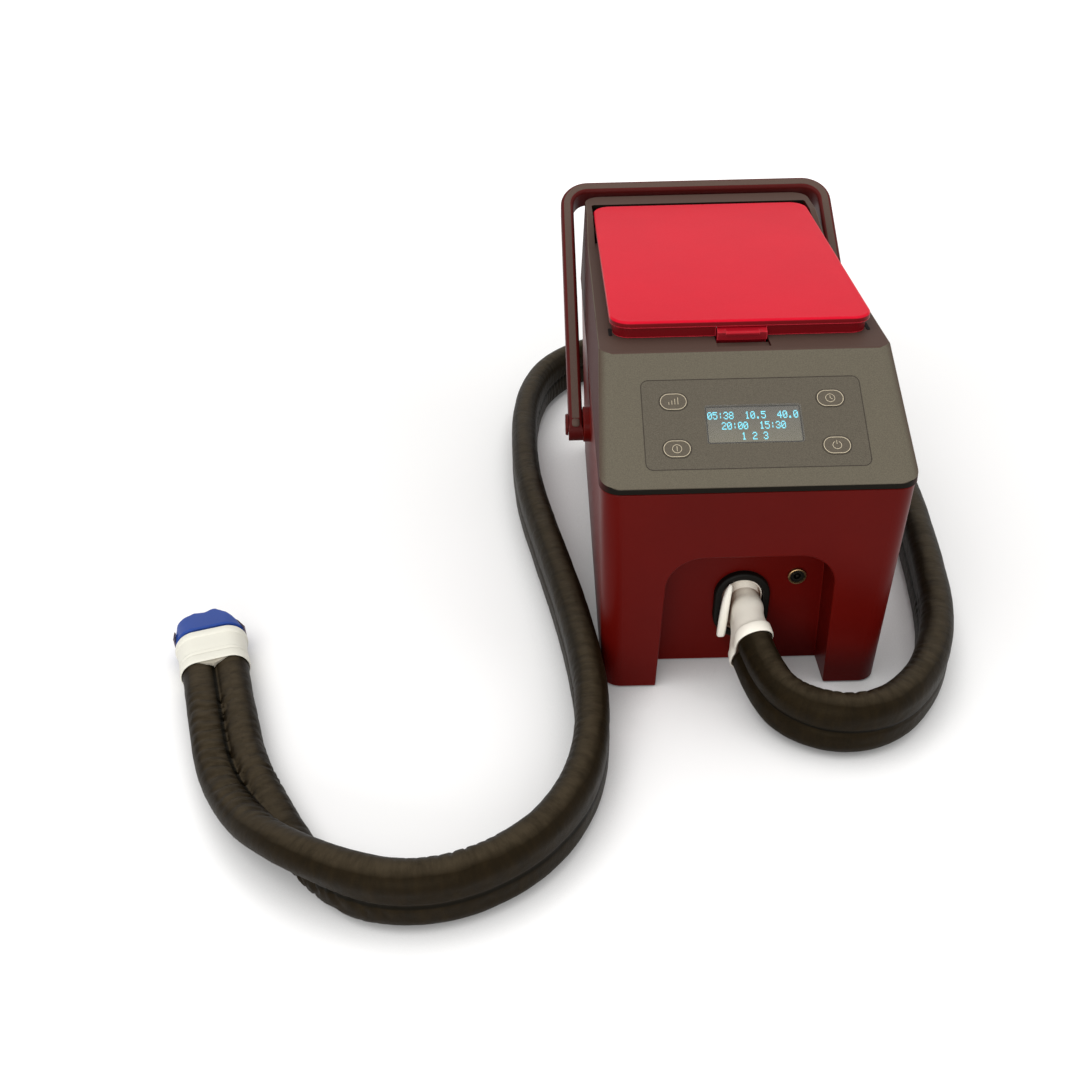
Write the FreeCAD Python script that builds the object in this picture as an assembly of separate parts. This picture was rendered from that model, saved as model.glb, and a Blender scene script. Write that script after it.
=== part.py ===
"""Hot and cold therapy console with its insulated twin hose.

Frame: millimetres, +Z up, the front faces -Y. The origin lies on the floor under the middle of the
console and its folded handle. Depths are counted from the cover's front lip: see at().
"""
import FreeCAD, Part
import math
import os
from FreeCAD import Vector

# ---------------------------------------------------------------- driving dimensions
# Console body: widths are at the seam between the lower shell and the cover
front_width = 205.6
rear_width = 200.0
body_depth = 375.0
seam_height = 168.0
front_height = 172.5        # cover's front lip
top_height = 225.0          # cover's flat top
crease_depth = 90.0         # front lip to the crease between panel and top
hump_height = 13.0          # rear hinge band above the top
hump_ramp_start = 286.0
hump_ramp_end = 330.0
hump_blend = 20.0
corner_radius = 14.0
side_draft = 2.8            # each wall leans in by this much at the floor
front_draft = 4.8
rear_draft = 17.0
wall = 3.0
rim_round = 0.8             # top edge of the lower shell
recess_edge_round = 1.2
cover_proud = 0.8           # the cover overhangs the lower shell all round
cover_lean = 4.0            # the cover's sides lean in by this much at the hump
cover_skin = 3.0
cover_wall = 4.0
cover_round = 1.2
crease_round = 4.0
shoulder_width = 9.0        # rounded shoulders beside the panel
shoulder_drop = 4.0
shadow_gap = 1.0
foot_height = 1.5
foot_radius = 9.0
foot_seat = 0.5
plate_thickness = 3.0
fit_gap = 0.3               # between pieces that are set into each other
tongue_depth = 6.0
tongue_wall = 1.8
ledge_height = 2.0

# Arched recess in the front
recess_half_bottom = 60.6
recess_half_top = 56.3
recess_top = 115.8
recess_depth = 34.0
recess_round = 26.0

# Control panel on the slope, counted down the slope from the crease
overlay_width = 144.7
overlay_start = 22.7
overlay_length = 67.5
overlay_round = 5.0
overlay_thickness = 0.8
overlay_gap = 0.1
window_width = 63.4
window_length = 29.1
window_start = 42.8
window_round = 2.0
window_land = 1.0           # cover left under the pane's edge
display_border = 7.0
display_thickness = 5.0
key_width = 17.8
key_length = 12.5
key_side = 51.6
key_rows = (39.5, 75.0)
key_proud = 0.3
key_travel = 0.8
key_gap = 0.3
switch_side = 8.0
switch_height = 3.5
board_thickness = 1.6
board_drop = 9.0            # panel surface to the key board's face
board_margin = 4.0

# Lid
lid_side = 9.9              # narrower end of the body to the lid's side
lid_front = 109.75
lid_back = 349.6
lid_round = 14.0
lid_edge_round = 1.8
lid_thickness = 4.5
lid_rise = 12.9             # lid's top above the cover's flat top
skirt_inset = 2.5
skirt_wall = 2.4
hinge_depth = 341.0
hinge_drop = 2.9            # underside of the lid's plate to its hinge line
hinge_pin_radius = 2.0
hinge_boss = 8.0
pin_clearance = 0.05
pin_seat = 3.0
well_gap = 1.0              # lid to the walls of its well
well_back_gap = 3.2         # room for the lid's back edge to swing
trough_drop = 6.5           # below the cover's flat top
trough_front = 325.0
gasket_height = 2.0
rib_wall = 1.6

# Catch on the lid's front edge
latch_half = 17.0
latch_tab_half = 11.5
latch_pin_radius = 1.0
latch_pin_inset = 5.6
latch_pin_drop = 2.6
latch_ear = 3.0
latch_side_gap = 0.4
latch_barb_reach = 3.1      # behind the lid's front edge
latch_barb_depth = 4.9      # below the cover's flat top
latch_tab_rise = 0.8        # top of the pull tab above the pin
catch_reach = 3.5
notch_floor = 5.5
notch_side_gap = 1.2
finger_recess_depth = 2.2
finger_recess_front = 95.5

# Water tank under the lid
tank_side = 12.1            # lid's side to the tank's
tank_front = 130.0
tank_back = 318.0
tank_tall = 56.0
tank_wall = 2.5
tank_round = 8.0
tank_flange = 4.0
mouth_inset = 4.0
outlet_length = 8.0

# Carrying handle, folded back; lean is the arms' angle above level
handle_pivot_depth = 183.5
handle_pivot_height = 119.0
handle_swing_gap = 3.0      # bar to the hump's corner as it swings by
handle_lean = 30.2
handle_gap = 3.2            # arms to the body's widest end
handle_thickness = 11.0
handle_width = 20.0
handle_round = 3.0
handle_corner = 24.0
handle_end = 13.0           # arm beyond the pivot
strip_width = 5.5
strip_depth = 1.2
strip_proud = 0.15
strip_gap = 0.1
pivot_pin_radius = 5.0
pivot_boss_radius = 14.0
pivot_head_radius = 8.5
pivot_head = 2.2
pivot_anchor = 4.0          # pin's length inside the shell's wall
driver_slot = 1.6

# Hose port and power jack on the back wall of the recess
port_x = 1.3
port_height = 53.5
port_ring_width = 39.5
port_ring_tall = 57.0
port_ring_wall = 5.0
port_ring_proud = 5.0
port_socket_depth = 26.0
socket_wall = 2.0
socket_flange = 4.0
spigot_spread = 11.0
spigot_length = 12.0
jack_x = 39.3
jack_height = 76.8
jack_nut_radius = 6.6
jack_thread_radius = 5.4
jack_body_radius = 7.5
jack_body_length = 12.0
jack_bore_radius = 2.8
jack_bore_depth = 9.0
jack_pin_radius = 1.0
jack_nut_proud = 2.4
jack_proud = 1.6

# Hose: two tubes side by side in one sleeve
hose_thick = 24.0
hose_wide = 47.0
floor_gap = 0.1             # sleeve to the floor
tail_turn = 0.6             # share of the last stretch over which it turns onto its flat side

# Elbow plug and its release lever
plug_length = 20.0
plug_inset = 2.0            # plug's face behind the ring's
elbow_lip = 1.7             # elbow's mouth beyond the hose
elbow_mouth = 7.0           # length of the mouth's collar
neck_x = 4.6
neck_width = 22.0
neck_tall = 33.0
neck_height = 51.0
lever_pivot_x = -10.6
lever_pivot_height = 67.0
lever_thickness = 9.0
lever_pin_radius = 1.6
lever_gap = 0.4

# Coupler at the far end
clamp_wide = 49.0
clamp_thick = 26.5
clamp_length = 7.0
collar_wide = 52.0
collar_thick = 31.0
collar_length = 25.0
collar_wall = 7.0
coupler_round = 1.2
release_gap = 3.0
release_stem = 12.0
release_travel = 2.5
release_length = 28.0
release_tip_thick = 20.0
# cap's outline beside the coupler's axis: share of its length, share of half its width, rounding
release_outline = ((0.0, -1.0, 0.0), (0.66, -0.86, 4.0), (0.93, -0.36, 2.5), (0.87, -0.04, 3.0),
                   (1.0, 0.25, 2.5), (0.62, 0.60, 6.0), (0.0, 1.0, 0.0))

# Cooling stack, fan and pump
stack_height = 98.0         # middle of the fan above the floor
sink_half = 58.0
sink_front = 262.0
sink_back = 330.0
sink_base = 8.0
fin_thickness = 1.4
fin_count = 17
fan_side = 119.0
fan_depth = 25.0
fan_bore_radius = 56.0
fan_hub_radius = 19.0
fan_shaft_radius = 2.0
fan_strut = 4.0
fan_hole_spread = 52.5
blade_count = 7
blade_pitch = 48.0
blade_chord = 15.0
blade_thickness = 1.6
module_side = 40.0
module_thickness = 4.0
module_spread = 5.0
plate_block = 14.0
plate_half = 52.0
plate_tall = 60.0
plate_port_inset = 12.0
pump_x = -42.0
pump_depth = 150.0
pump_radius = 22.0
pump_height = 46.0
chamber_height = 10.0
chamber_roof = 4.0
chamber_wall = 4.0
vane_count = 6
tube_radius = 5.0
tube_wall = 0.95
spigot_radius = 4.0
spigot_bore = 2.5
grille_half = 60.0
grille_bars = 10
grille_border = 6.0
board_post_height = 8.0
chip_side = 16.0
chip_height = 2.0
relay_side = 14.0
part_inset = 8.0            # board's edge to what it carries
tube_run = 24.0             # straight water line beyond each spigot
screw_radius = 1.6
screw_head_radius = 3.5
screw_length = 16.0

# ---------------------------------------------------------------- values worked out from them
slope = math.atan2(top_height - front_height, crease_depth)
full_height = top_height + hump_height
handle_half = max(front_width, rear_width) / 2 + handle_gap + handle_thickness
handle_reach = (math.hypot(body_depth - handle_pivot_depth, full_height - handle_pivot_height)
                + handle_swing_gap + handle_thickness / 2)
lid_half = min(front_width, rear_width) / 2 - lid_side
tank_half = lid_half - tank_side
cover_low = seam_height + shadow_gap
lean = math.radians(handle_lean)
bar_rear = (handle_pivot_depth + handle_reach * math.cos(lean)
            + (handle_thickness / 2 - handle_round) * math.cos(lean)
            + (handle_width / 2 - handle_round) * math.sin(lean) + handle_round)
middle = bar_rear / 2
plate_low = foot_height + foot_seat
plate_top = plate_low + plate_thickness
arm_inner = handle_half - handle_thickness
well_half = lid_half + well_gap
well_back = lid_back + well_back_gap
lid_top = top_height + lid_rise
slab_low = lid_top - lid_thickness
hinge_height = slab_low - hinge_drop
trough_floor = top_height - trough_drop
tank_floor = top_height - cover_skin - tank_tall
latch_pin_depth = lid_front + latch_pin_inset
latch_pin_height = slab_low - latch_pin_drop
gasket_top = top_height + gasket_height
socket_back = recess_depth + wall + port_socket_depth
spigot_heights = (port_height - spigot_spread, port_height + spigot_spread)
coupler_height = collar_thick / 2 + floor_gap
stack_front = sink_front - module_thickness - plate_block
pump_low = plate_top + 3.0
pump_outlet_height = pump_low + pump_height - chamber_roof - chamber_height / 2
X = Vector(1, 0, 0)
Y = Vector(0, 1, 0)
Z = Vector(0, 0, 1)

screw_places = [(-82.0, 52.0), (82.0, 52.0), (-82.0, 325.0), (82.0, 325.0)]
foot_places = [(-80.0, 20.0), (80.0, 20.0), (-78.0, 338.0), (78.0, 338.0)]
board_posts = [(20.0, 118.0), (76.0, 118.0), (20.0, 196.0), (76.0, 196.0)]
key_places = [(side * key_side, down) for side in (-1, 1) for down in key_rows]
key_names = ("key_zone", "key_start", "key_timer", "key_power")


# ---------------------------------------------------------------- helpers
def at(x, depth, z):
    """A point from its depth behind the cover's front lip."""
    return Vector(x, depth - middle, z)


def on_panel(x, down, out=0.0):
    """A point on the sloping panel, out along its normal."""
    return at(x, crease_depth - down * math.cos(slope) - out * math.sin(slope),
              top_height - down * math.sin(slope) + out * math.cos(slope))


def outline(points, radii):
    """A closed wire through the points, with each corner rounded by its own radius."""
    if not isinstance(radii, (list, tuple)):
        radii = [radii] * len(points)
    starts, ends, tops = [], [], []
    for i, corner in enumerate(points):
        back = (points[i - 1] - corner).normalize()
        ahead = (points[(i + 1) % len(points)] - corner).normalize()
        half = back.getAngle(ahead) / 2
        reach = radii[i] / math.tan(half)
        starts.append(corner + back * reach)
        ends.append(corner + ahead * reach)
        inward = (back + ahead).normalize()
        tops.append(corner + inward * (radii[i] / math.sin(half) - radii[i]))
    edges = []
    for i in range(len(points)):
        if radii[i] > 0:
            edges.append(Part.Arc(starts[i], tops[i], ends[i]).toShape())
        following = starts[(i + 1) % len(points)]
        if (following - ends[i]).Length > 1e-6:
            edges.append(Part.LineSegment(ends[i], following).toShape())
    return Part.Wire(edges)


def prism(points, radii, direction):
    return Part.Face(outline(points, radii)).extrude(direction)


def block(x0, x1, d0, d1, z0, z1):
    return Part.makeBox(abs(x1 - x0), d1 - d0, z1 - z0, at(min(x0, x1), d0, z0))


def plan_block(half, d0, d1, z0, z1, radius):
    """A block with rounded corners in plan."""
    corners = [at(-half, d0, z0), at(half, d0, z0), at(half, d1, z0), at(-half, d1, z0)]
    return prism(corners, radius, Z * (z1 - z0))


def side_prism(points, radii, x0, x1):
    """Depth and height points, pushed along X."""
    return prism([at(x0, depth, z) for depth, z in points], radii, X * (x1 - x0))


def front_prism(points, radii, d0, d1):
    """Points across and up, pushed backwards."""
    return prism([at(x, d0, z) for x, z in points], radii, Y * (d1 - d0))


def panel_block(x, half, s0, s1, n0, n1, radius):
    """A rounded block on the panel, from n0 to n1 above its surface."""
    corners = [on_panel(x - half, s0, n0), on_panel(x + half, s0, n0),
               on_panel(x + half, s1, n0), on_panel(x - half, s1, n0)]
    normal = on_panel(0, 0, 1) - on_panel(0, 0, 0)
    return prism(corners, radius, normal * (n1 - n0))


def rod(start, direction, radius, length):
    return Part.makeCylinder(radius, length, start, direction)


def stadium(centre, across, along, width, tall):
    """A stadium wire: width across the short way, tall along the long way."""
    straight = (tall - width) / 2
    r = width / 2
    a = centre + across * r + along * straight
    b = centre - across * r + along * straight
    c = centre - across * r - along * straight
    d = centre + across * r - along * straight
    edges = [Part.Arc(a, centre + along * (straight + r), b).toShape(),
             Part.LineSegment(b, c).toShape(),
             Part.Arc(c, centre - along * (straight + r), d).toShape(),
             Part.LineSegment(d, a).toShape()]
    return Part.Wire(edges)


def stadium_prism(centre, across, along, width, tall, direction):
    return Part.Face(stadium(centre, across, along, width, tall)).extrude(direction)


def fillet(shape, radius, chosen):
    """Round the edges that pass the test; the test gets the edge."""
    return shape.makeFillet(radius, [e for e in shape.Edges if chosen(e)])


def export(name, shape):
    solids = shape.Solids
    shape = solids[0] if len(solids) == 1 else Part.makeCompound(solids)
    if not solids or not shape.isValid():
        print("INVALID", name)
    shape.exportStep("parts/" + name + ".step")


# ---------------------------------------------------------------- console shell
def plan_ring(z, narrower, front, rear, inset):
    """The body's outline in plan: a little narrower at the rear."""
    front_half = front_width / 2 - narrower - inset
    rear_half = rear_width / 2 - narrower - inset
    corners = [at(-front_half, front + inset, z), at(front_half, front + inset, z),
               at(rear_half, rear - inset, z), at(-rear_half, rear - inset, z)]
    return outline(corners, max(corner_radius - inset, tongue_wall))


def shell_walls(inset, z0, z1):
    """Inside of the lower shell's leaning walls, moved in by an inset."""
    def ring(z):
        low = (seam_height - z) / seam_height
        return plan_ring(z, cover_proud + side_draft * low, cover_proud + front_draft * low,
                         body_depth - cover_proud - rear_draft * low, inset)
    return Part.makeLoft([ring(z0), ring(z1)], True, True)


def cover_walls(inset, z0, z1):
    """Inside of the cover's walls, which lean in upwards, moved in by an inset."""
    def ring(z):
        up = (z - seam_height) / (full_height - seam_height)
        return plan_ring(z, cover_lean * up, 0.0, body_depth, inset)
    return Part.makeLoft([ring(z0), ring(z1)], True, True)


def shell_half(depth, z):
    """Half the lower shell's outside width."""
    seam_half = front_width / 2 + (rear_width - front_width) / 2 * depth / body_depth
    return seam_half - cover_proud - side_draft * (seam_height - z) / seam_height


def under_roof(drop):
    """Everything below the roof line: panel, top, ramp and hump, lowered by a drop along its normal."""
    slope_drop = drop / math.cos(slope)
    ramp = math.atan2(hump_height, hump_ramp_end - hump_ramp_start)
    crease = crease_depth + drop * math.tan(slope / 2)
    shift = drop * math.tan(ramp / 2)
    front = -body_depth / 10
    rear = body_depth * 1.1
    points = [(front, 0), (front, front_height - slope_drop + front * math.tan(slope)),
              (crease, top_height - drop), (hump_ramp_start + shift, top_height - drop),
              (hump_ramp_end + shift, full_height - drop), (rear, full_height - drop), (rear, 0)]
    radii = [0, 0, max(crease_round - drop, 0.5), hump_blend, hump_blend, 0, 0]
    return side_prism(points, radii, -front_width, front_width)


def recess_cutter(grow, depth, z0):
    bottom = recess_half_bottom + grow
    top = recess_half_top + grow
    points = [(-bottom, z0), (bottom, z0), (top, recess_top + grow), (-top, recess_top + grow)]
    return front_prism(points, [0, 0, recess_round + grow, recess_round + grow], -wall, depth)


def on_recess_edge(edge):
    """The arch where the recess meets the front face."""
    centre = edge.CenterOfMass
    front = cover_proud + front_draft * (seam_height - centre.z) / seam_height
    near_face = abs(centre.y + middle - front) < 1.0
    return near_face and abs(centre.x) < recess_half_bottom + 1 and foot_height + 1 < centre.z < recess_top + 1


def make_housing():
    body = shell_walls(0, foot_height, seam_height)
    body = fillet(body, rim_round, lambda e: e.BoundBox.ZMin > seam_height - 0.01)
    body = body.cut(recess_cutter(0, recess_depth, 0))
    body = fillet(body, recess_edge_round, on_recess_edge)
    hollow = shell_walls(wall, foot_height - 1, seam_height + 1)
    shell = body.cut(hollow.cut(recess_cutter(wall, recess_depth + wall, foot_height)))
    # port opening, jack hole and rear air opening
    port = port_centre(recess_depth - 1)
    shell = shell.cut(stadium_prism(port, X, Z, *port_hole(), Y * (wall + 2)))
    shell = shell.cut(rod(at(jack_x, recess_depth - 1, jack_height), Y, jack_thread_radius + fit_gap / 2, wall + 2))
    shell = shell.cut(grille_area(0))
    for side in (-1, 1):
        shell = add_pivot_boss(shell, side)
    for x, depth in screw_places:
        shell = add_screw_post(shell, x, depth)
    return shell.removeSplitter()


def add_pivot_boss(shell, side):
    """A round boss outside the wall that carries a handle pin."""
    outer = side * (arm_inner - fit_gap)
    boss = rod(at(outer, handle_pivot_depth, handle_pivot_height), X * -side, pivot_boss_radius,
               arm_inner - fit_gap - pin_root())
    boss = fillet(boss, cover_round, lambda e: abs(e.CenterOfMass.x - outer) < 0.01)
    bore = rod(at(outer + side, handle_pivot_depth, handle_pivot_height), X * -side, pivot_pin_radius,
               arm_inner - pin_root() + 2)
    return shell.fuse(boss).cut(bore)


def pin_root():
    """Where a handle pin ends inside the shell."""
    return shell_half(handle_pivot_depth, handle_pivot_height) - wall - pivot_anchor


def add_screw_post(shell, x, depth):
    """A post for a base screw, with a rib to the side wall."""
    side = 1 if x > 0 else -1
    post_height = 2 * screw_length
    wall_middle = side * (shell_half(depth, plate_top) - wall / 2)
    shell = shell.fuse(rod(at(x, depth, plate_top), Z, 3 * screw_radius, post_height))
    shell = shell.fuse(block(x, wall_middle, depth - wall / 2, depth + wall / 2, plate_top,
                             plate_top + post_height - wall))
    return shell.cut(rod(at(x, depth, plate_top - 1), Z, screw_radius, screw_length + wall))


def make_base_plate():
    plate = shell_walls(wall + fit_gap, plate_low, plate_top)
    plate = plate.cut(recess_cutter(wall + fit_gap, recess_depth + wall + fit_gap, 0))
    for x, depth in screw_places:
        plate = plate.cut(rod(at(x, depth, 0), Z, screw_radius + fit_gap, plate_top + 1))
        plate = plate.cut(Part.makeCone(screw_head_radius + fit_gap / 2, screw_radius + fit_gap,
                                        plate_thickness / 2, at(x, depth, plate_low), Z))
    for row in range(5):
        front = (pump_depth + sink_front) / 2 - 10 + 3 * wall * row
        plate = plate.cut(plan_block(sink_half / 2, front, front + wall, plate_low - 1, plate_top + 1, 1.4))
    # rails that carry the heat sink, the pump's seat and the board's posts
    for side in (-1, 1):
        rail = block(side * sink_half / 2 - wall, side * sink_half / 2 + wall, sink_front + 2, sink_back - 2,
                     plate_top, stack_height - sink_half)
        plate = plate.fuse(rail)
    seat = rod(pump_at(plate_top), Z, pump_radius + 2, 2 * wall)
    plate = plate.fuse(seat.cut(rod(pump_at(pump_low), Z, pump_radius + fit_gap, 2 * wall)))
    for x, depth in board_posts:
        plate = plate.fuse(rod(at(x, depth, plate_top), Z, wall, board_post_height))
    return plate.removeSplitter()


def make_feet():
    feet = []
    for x, depth in foot_places:
        feet.append(Part.makeCone(foot_radius - 1, foot_radius, plate_low, at(x, depth, 0), Z))
    return Part.makeCompound(feet)


def make_base_screws():
    screws = []
    head = plate_thickness / 2
    for x, depth in screw_places:
        cone = Part.makeCone(screw_head_radius, screw_radius, head, at(x, depth, plate_low), Z)
        screws.append(cone.fuse(rod(at(x, depth, plate_low + head), Z, screw_radius, screw_length)))
    return Part.makeCompound(screws)


def grille_area(shrink):
    half = grille_half - shrink
    low = stack_height - half
    high = stack_height + half
    return front_prism([(-half, low), (half, low), (half, high), (-half, high)], grille_border - shrink,
                       sink_back + fan_depth, body_depth + 1)


def make_rear_grille():
    """A slotted sheet set flush in the leaning rear wall."""
    sheet = shell_walls(wall / 5, foot_height, seam_height).cut(shell_walls(wall, foot_height - 1, seam_height + 1))
    sheet = sheet.common(grille_area(fit_gap))
    slot_half = grille_half - 1.2 * grille_border
    pitch = 2 * (grille_half - grille_border) / grille_bars
    for row in range(grille_bars):
        z = stack_height - grille_half + grille_border + pitch * (row + 0.5)
        for side in (-1, 1):
            inner = side * grille_border / 2
            outer = side * slot_half
            slot = [(inner, z - pitch / 4), (outer, z - pitch / 4), (outer, z + pitch / 4), (inner, z + pitch / 4)]
            sheet = sheet.cut(front_prism(slot, pitch / 4.2, sink_back + fan_depth, body_depth + 1))
    return sheet


# ---------------------------------------------------------------- top cover
def mouth(z0, z1, grow):
    """The tank's mouth through the cover, or a ring line round it."""
    half = tank_half - mouth_inset + grow
    return plan_block(half, tank_front + mouth_inset - grow, tank_back - mouth_inset + grow,
                      z0, z1, tank_round - mouth_inset + grow)


def on_cover_rim(edge):
    """Edges along the cover's outer top rim, and none that run across it."""
    centre = edge.CenterOfMass
    depth = centre.y + middle
    roof = min(top_height, front_height + depth * math.tan(slope))
    if depth > hump_ramp_start:
        roof = full_height - hump_height * max(0.0, (hump_ramp_end - depth) / (hump_ramp_end - hump_ramp_start))
    outside = abs(centre.x) > rear_width / 2 - corner_radius
    ends = depth < corner_radius or depth > body_depth - corner_radius
    return abs(centre.z - roof) < 2.0 and (outside or ends)


def shoulder_cutter(side):
    """Material above the rounded shoulder beside the panel."""
    flare = (front_width - rear_width) / 2 * (1 - crease_depth / body_depth)
    crease_lean = cover_lean * (top_height - seam_height) / (full_height - seam_height)
    top_edge = rear_width / 2 + flare - crease_lean
    front_edge = front_width / 2
    run = crease_depth / math.cos(slope)
    reach = 1.2
    away = (front_edge - top_edge) * 0.2

    def profile(edge, down):
        radius = (shoulder_width ** 2 + shoulder_drop ** 2) / (2 * shoulder_drop)
        middle_drop = radius - math.sqrt(radius ** 2 - (shoulder_width / 2) ** 2)
        inner = on_panel(side * (edge - shoulder_width), down)
        bend = on_panel(side * (edge - shoulder_width / 2), down, -middle_drop)
        outer = on_panel(side * edge, down, -shoulder_drop)
        tail = on_panel(side * (edge + shoulder_width), down, -1.6 * shoulder_drop)
        above = on_panel(side * (edge + shoulder_width), down, 4 * shoulder_drop)
        top = on_panel(side * (edge - shoulder_width), down, 4 * shoulder_drop)
        return Part.Wire([Part.Arc(inner, bend, outer).toShape(), Part.LineSegment(outer, tail).toShape(),
                          Part.LineSegment(tail, above).toShape(), Part.LineSegment(above, top).toShape(),
                          Part.LineSegment(top, inner).toShape()])
    return Part.makeLoft([profile(top_edge - away, -0.2 * run), profile(front_edge, run * reach - 0.2 * run)],
                         True, True)


def make_top_cover():
    cap = cover_walls(0, cover_low, full_height + 1).common(under_roof(0))
    cap = fillet(cap, cover_round, on_cover_rim)
    for side in (-1, 1):
        cap = cap.cut(shoulder_cutter(side))
    cap = cap.cut(cover_walls(cover_wall, cover_low - 1, full_height).common(under_roof(cover_skin)))
    cap = cap.fuse(cover_tongue())
    cap = cap.fuse(catch_pocket())
    # shell round the deep trough behind the lid
    trough = block(-well_half - wall, well_half + wall, trough_front - wall, well_back + wall,
                   trough_floor - wall, full_height)
    cap = cap.fuse(trough.common(cover_walls(wall / 2, cover_low, full_height)).common(under_roof(wall / 2)))
    # the lid's well, its trough and the tank's mouth
    cap = cap.cut(plan_block(well_half, lid_front - well_gap, well_back, top_height, full_height + 1, wall))
    cap = cap.cut(plan_block(well_half, trough_front, well_back, trough_floor, full_height + 1, wall))
    cap = cap.cut(mouth(top_height - 2 * cover_skin, top_height + 1, 0))
    # finger recess and notch for the lid's catch
    notch_half = latch_half + notch_side_gap
    cap = cap.cut(block(-notch_half, notch_half, finger_recess_front, lid_front + catch_reach,
                        top_height - finger_recess_depth, full_height))
    cap = cap.cut(block(-notch_half, notch_half, lid_front - catch_reach, lid_front + catch_reach,
                        top_height - notch_floor, top_height))
    # bores for the lid's pins
    for side in (-1, 1):
        start = at(side * (well_half - 1), hinge_depth, hinge_height)
        cap = cap.cut(rod(start, X * side, hinge_pin_radius + pin_clearance, 1 + pin_seat))
    # control panel: the overlay's pocket, the window and the keys' holes
    cap = cap.cut(panel_block(0, overlay_width / 2 + overlay_gap, overlay_start - overlay_gap,
                              overlay_start + overlay_length + overlay_gap, -overlay_thickness, cover_skin,
                              overlay_round))
    cap = cap.cut(panel_block(0, window_width / 2 - window_land, window_start + window_land,
                              window_start + window_length - window_land, -2 * cover_skin, cover_skin,
                              window_round))
    for x, down in key_places:
        cap = cap.cut(key_hole(x, down))
    return cap.removeSplitter()


def cover_tongue():
    """The ring that drops inside the lower shell, and the ledge that joins it to the cover."""
    outer = wall + fit_gap
    ring = shell_walls(outer, seam_height - tongue_depth, cover_low + ledge_height)
    ring = ring.cut(shell_walls(outer + tongue_wall, seam_height - tongue_depth - 1, full_height))
    ledge = cover_walls(cover_wall / 2, cover_low, cover_low + ledge_height)
    ledge = ledge.cut(shell_walls(outer + tongue_wall, cover_low - 1, full_height))
    return ring.fuse(ledge).common(under_roof(cover_skin / 2))


def catch_pocket():
    """A floor under the notch that takes the catch."""
    half = latch_half + notch_side_gap + tongue_wall
    return block(-half, half, lid_front - catch_reach - tongue_wall, lid_front + catch_reach + tongue_wall,
                 top_height - notch_floor - tongue_wall, top_height - 1)


def key_hole(x, down):
    return panel_block(x, key_width / 2 + key_gap, down - key_length / 2 - key_gap,
                       down + key_length / 2 + key_gap, -2 * cover_skin, cover_skin, key_length / 2 + key_gap - 0.01)


# ---------------------------------------------------------------- control panel
def make_overlay():
    sheet = panel_block(0, overlay_width / 2, overlay_start, overlay_start + overlay_length,
                        -overlay_thickness, 0, overlay_round)
    sheet = sheet.cut(panel_block(0, window_width / 2 + overlay_gap / 2, window_start - overlay_gap / 2,
                                  window_start + window_length + overlay_gap / 2, -cover_skin, cover_skin,
                                  window_round))
    for x, down in key_places:
        sheet = sheet.cut(key_hole(x, down))
    return sheet


def make_window():
    return panel_block(0, window_width / 2, window_start, window_start + window_length,
                       -overlay_thickness, overlay_gap, window_round)


def make_lcd_module():
    """Display glass that rises into the window, on its metal-framed module."""
    inner = window_land + fit_gap
    glass = panel_block(0, window_width / 2 - inner, window_start + inner, window_start + window_length - inner,
                        -cover_skin - fit_gap, -overlay_thickness - fit_gap, window_round / 2)
    frame = panel_block(0, window_width / 2 + display_border, window_start - display_border,
                        window_start + window_length + display_border, -cover_skin - fit_gap - display_thickness,
                        -cover_skin - fit_gap, window_round / 2)
    return glass.fuse(frame)


def make_key(x, down):
    """An oval cap that reaches through the cover to its switch, with the travel left under it."""
    half = key_width / 2
    foot = -board_drop + switch_height + key_travel + overlay_gap
    reach = switch_side / 2
    stem = panel_block(x, reach, down - reach, down + reach, foot, -cover_skin, window_round)
    cap = panel_block(x, half, down - key_length / 2, down + key_length / 2, -cover_skin, key_proud,
                      key_length / 2 - 0.01)
    return cap.fuse(stem).removeSplitter()


def make_key_board():
    return panel_block(0, overlay_width / 2 - board_margin, overlay_start - board_margin,
                       overlay_start + overlay_length + board_margin / 2,
                       -board_drop - board_thickness, -board_drop, window_round)


def make_key_switches():
    half = switch_side / 2
    switches = [panel_block(x, half, down - half, down + half, -board_drop, -board_drop + switch_height, 0.5)
                for x, down in key_places]
    return Part.makeCompound(switches)


# ---------------------------------------------------------------- lid and its catch
def lid_ring(inset, thick, z0, z1):
    outer = plan_block(lid_half - inset, lid_front + inset, lid_back - inset, z0, z1, lid_round - inset)
    narrow = inset + thick
    inner = plan_block(lid_half - narrow, lid_front + narrow, lid_back - narrow, z0 - 1, z1, lid_round - narrow)
    return outer.cut(inner)


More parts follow.
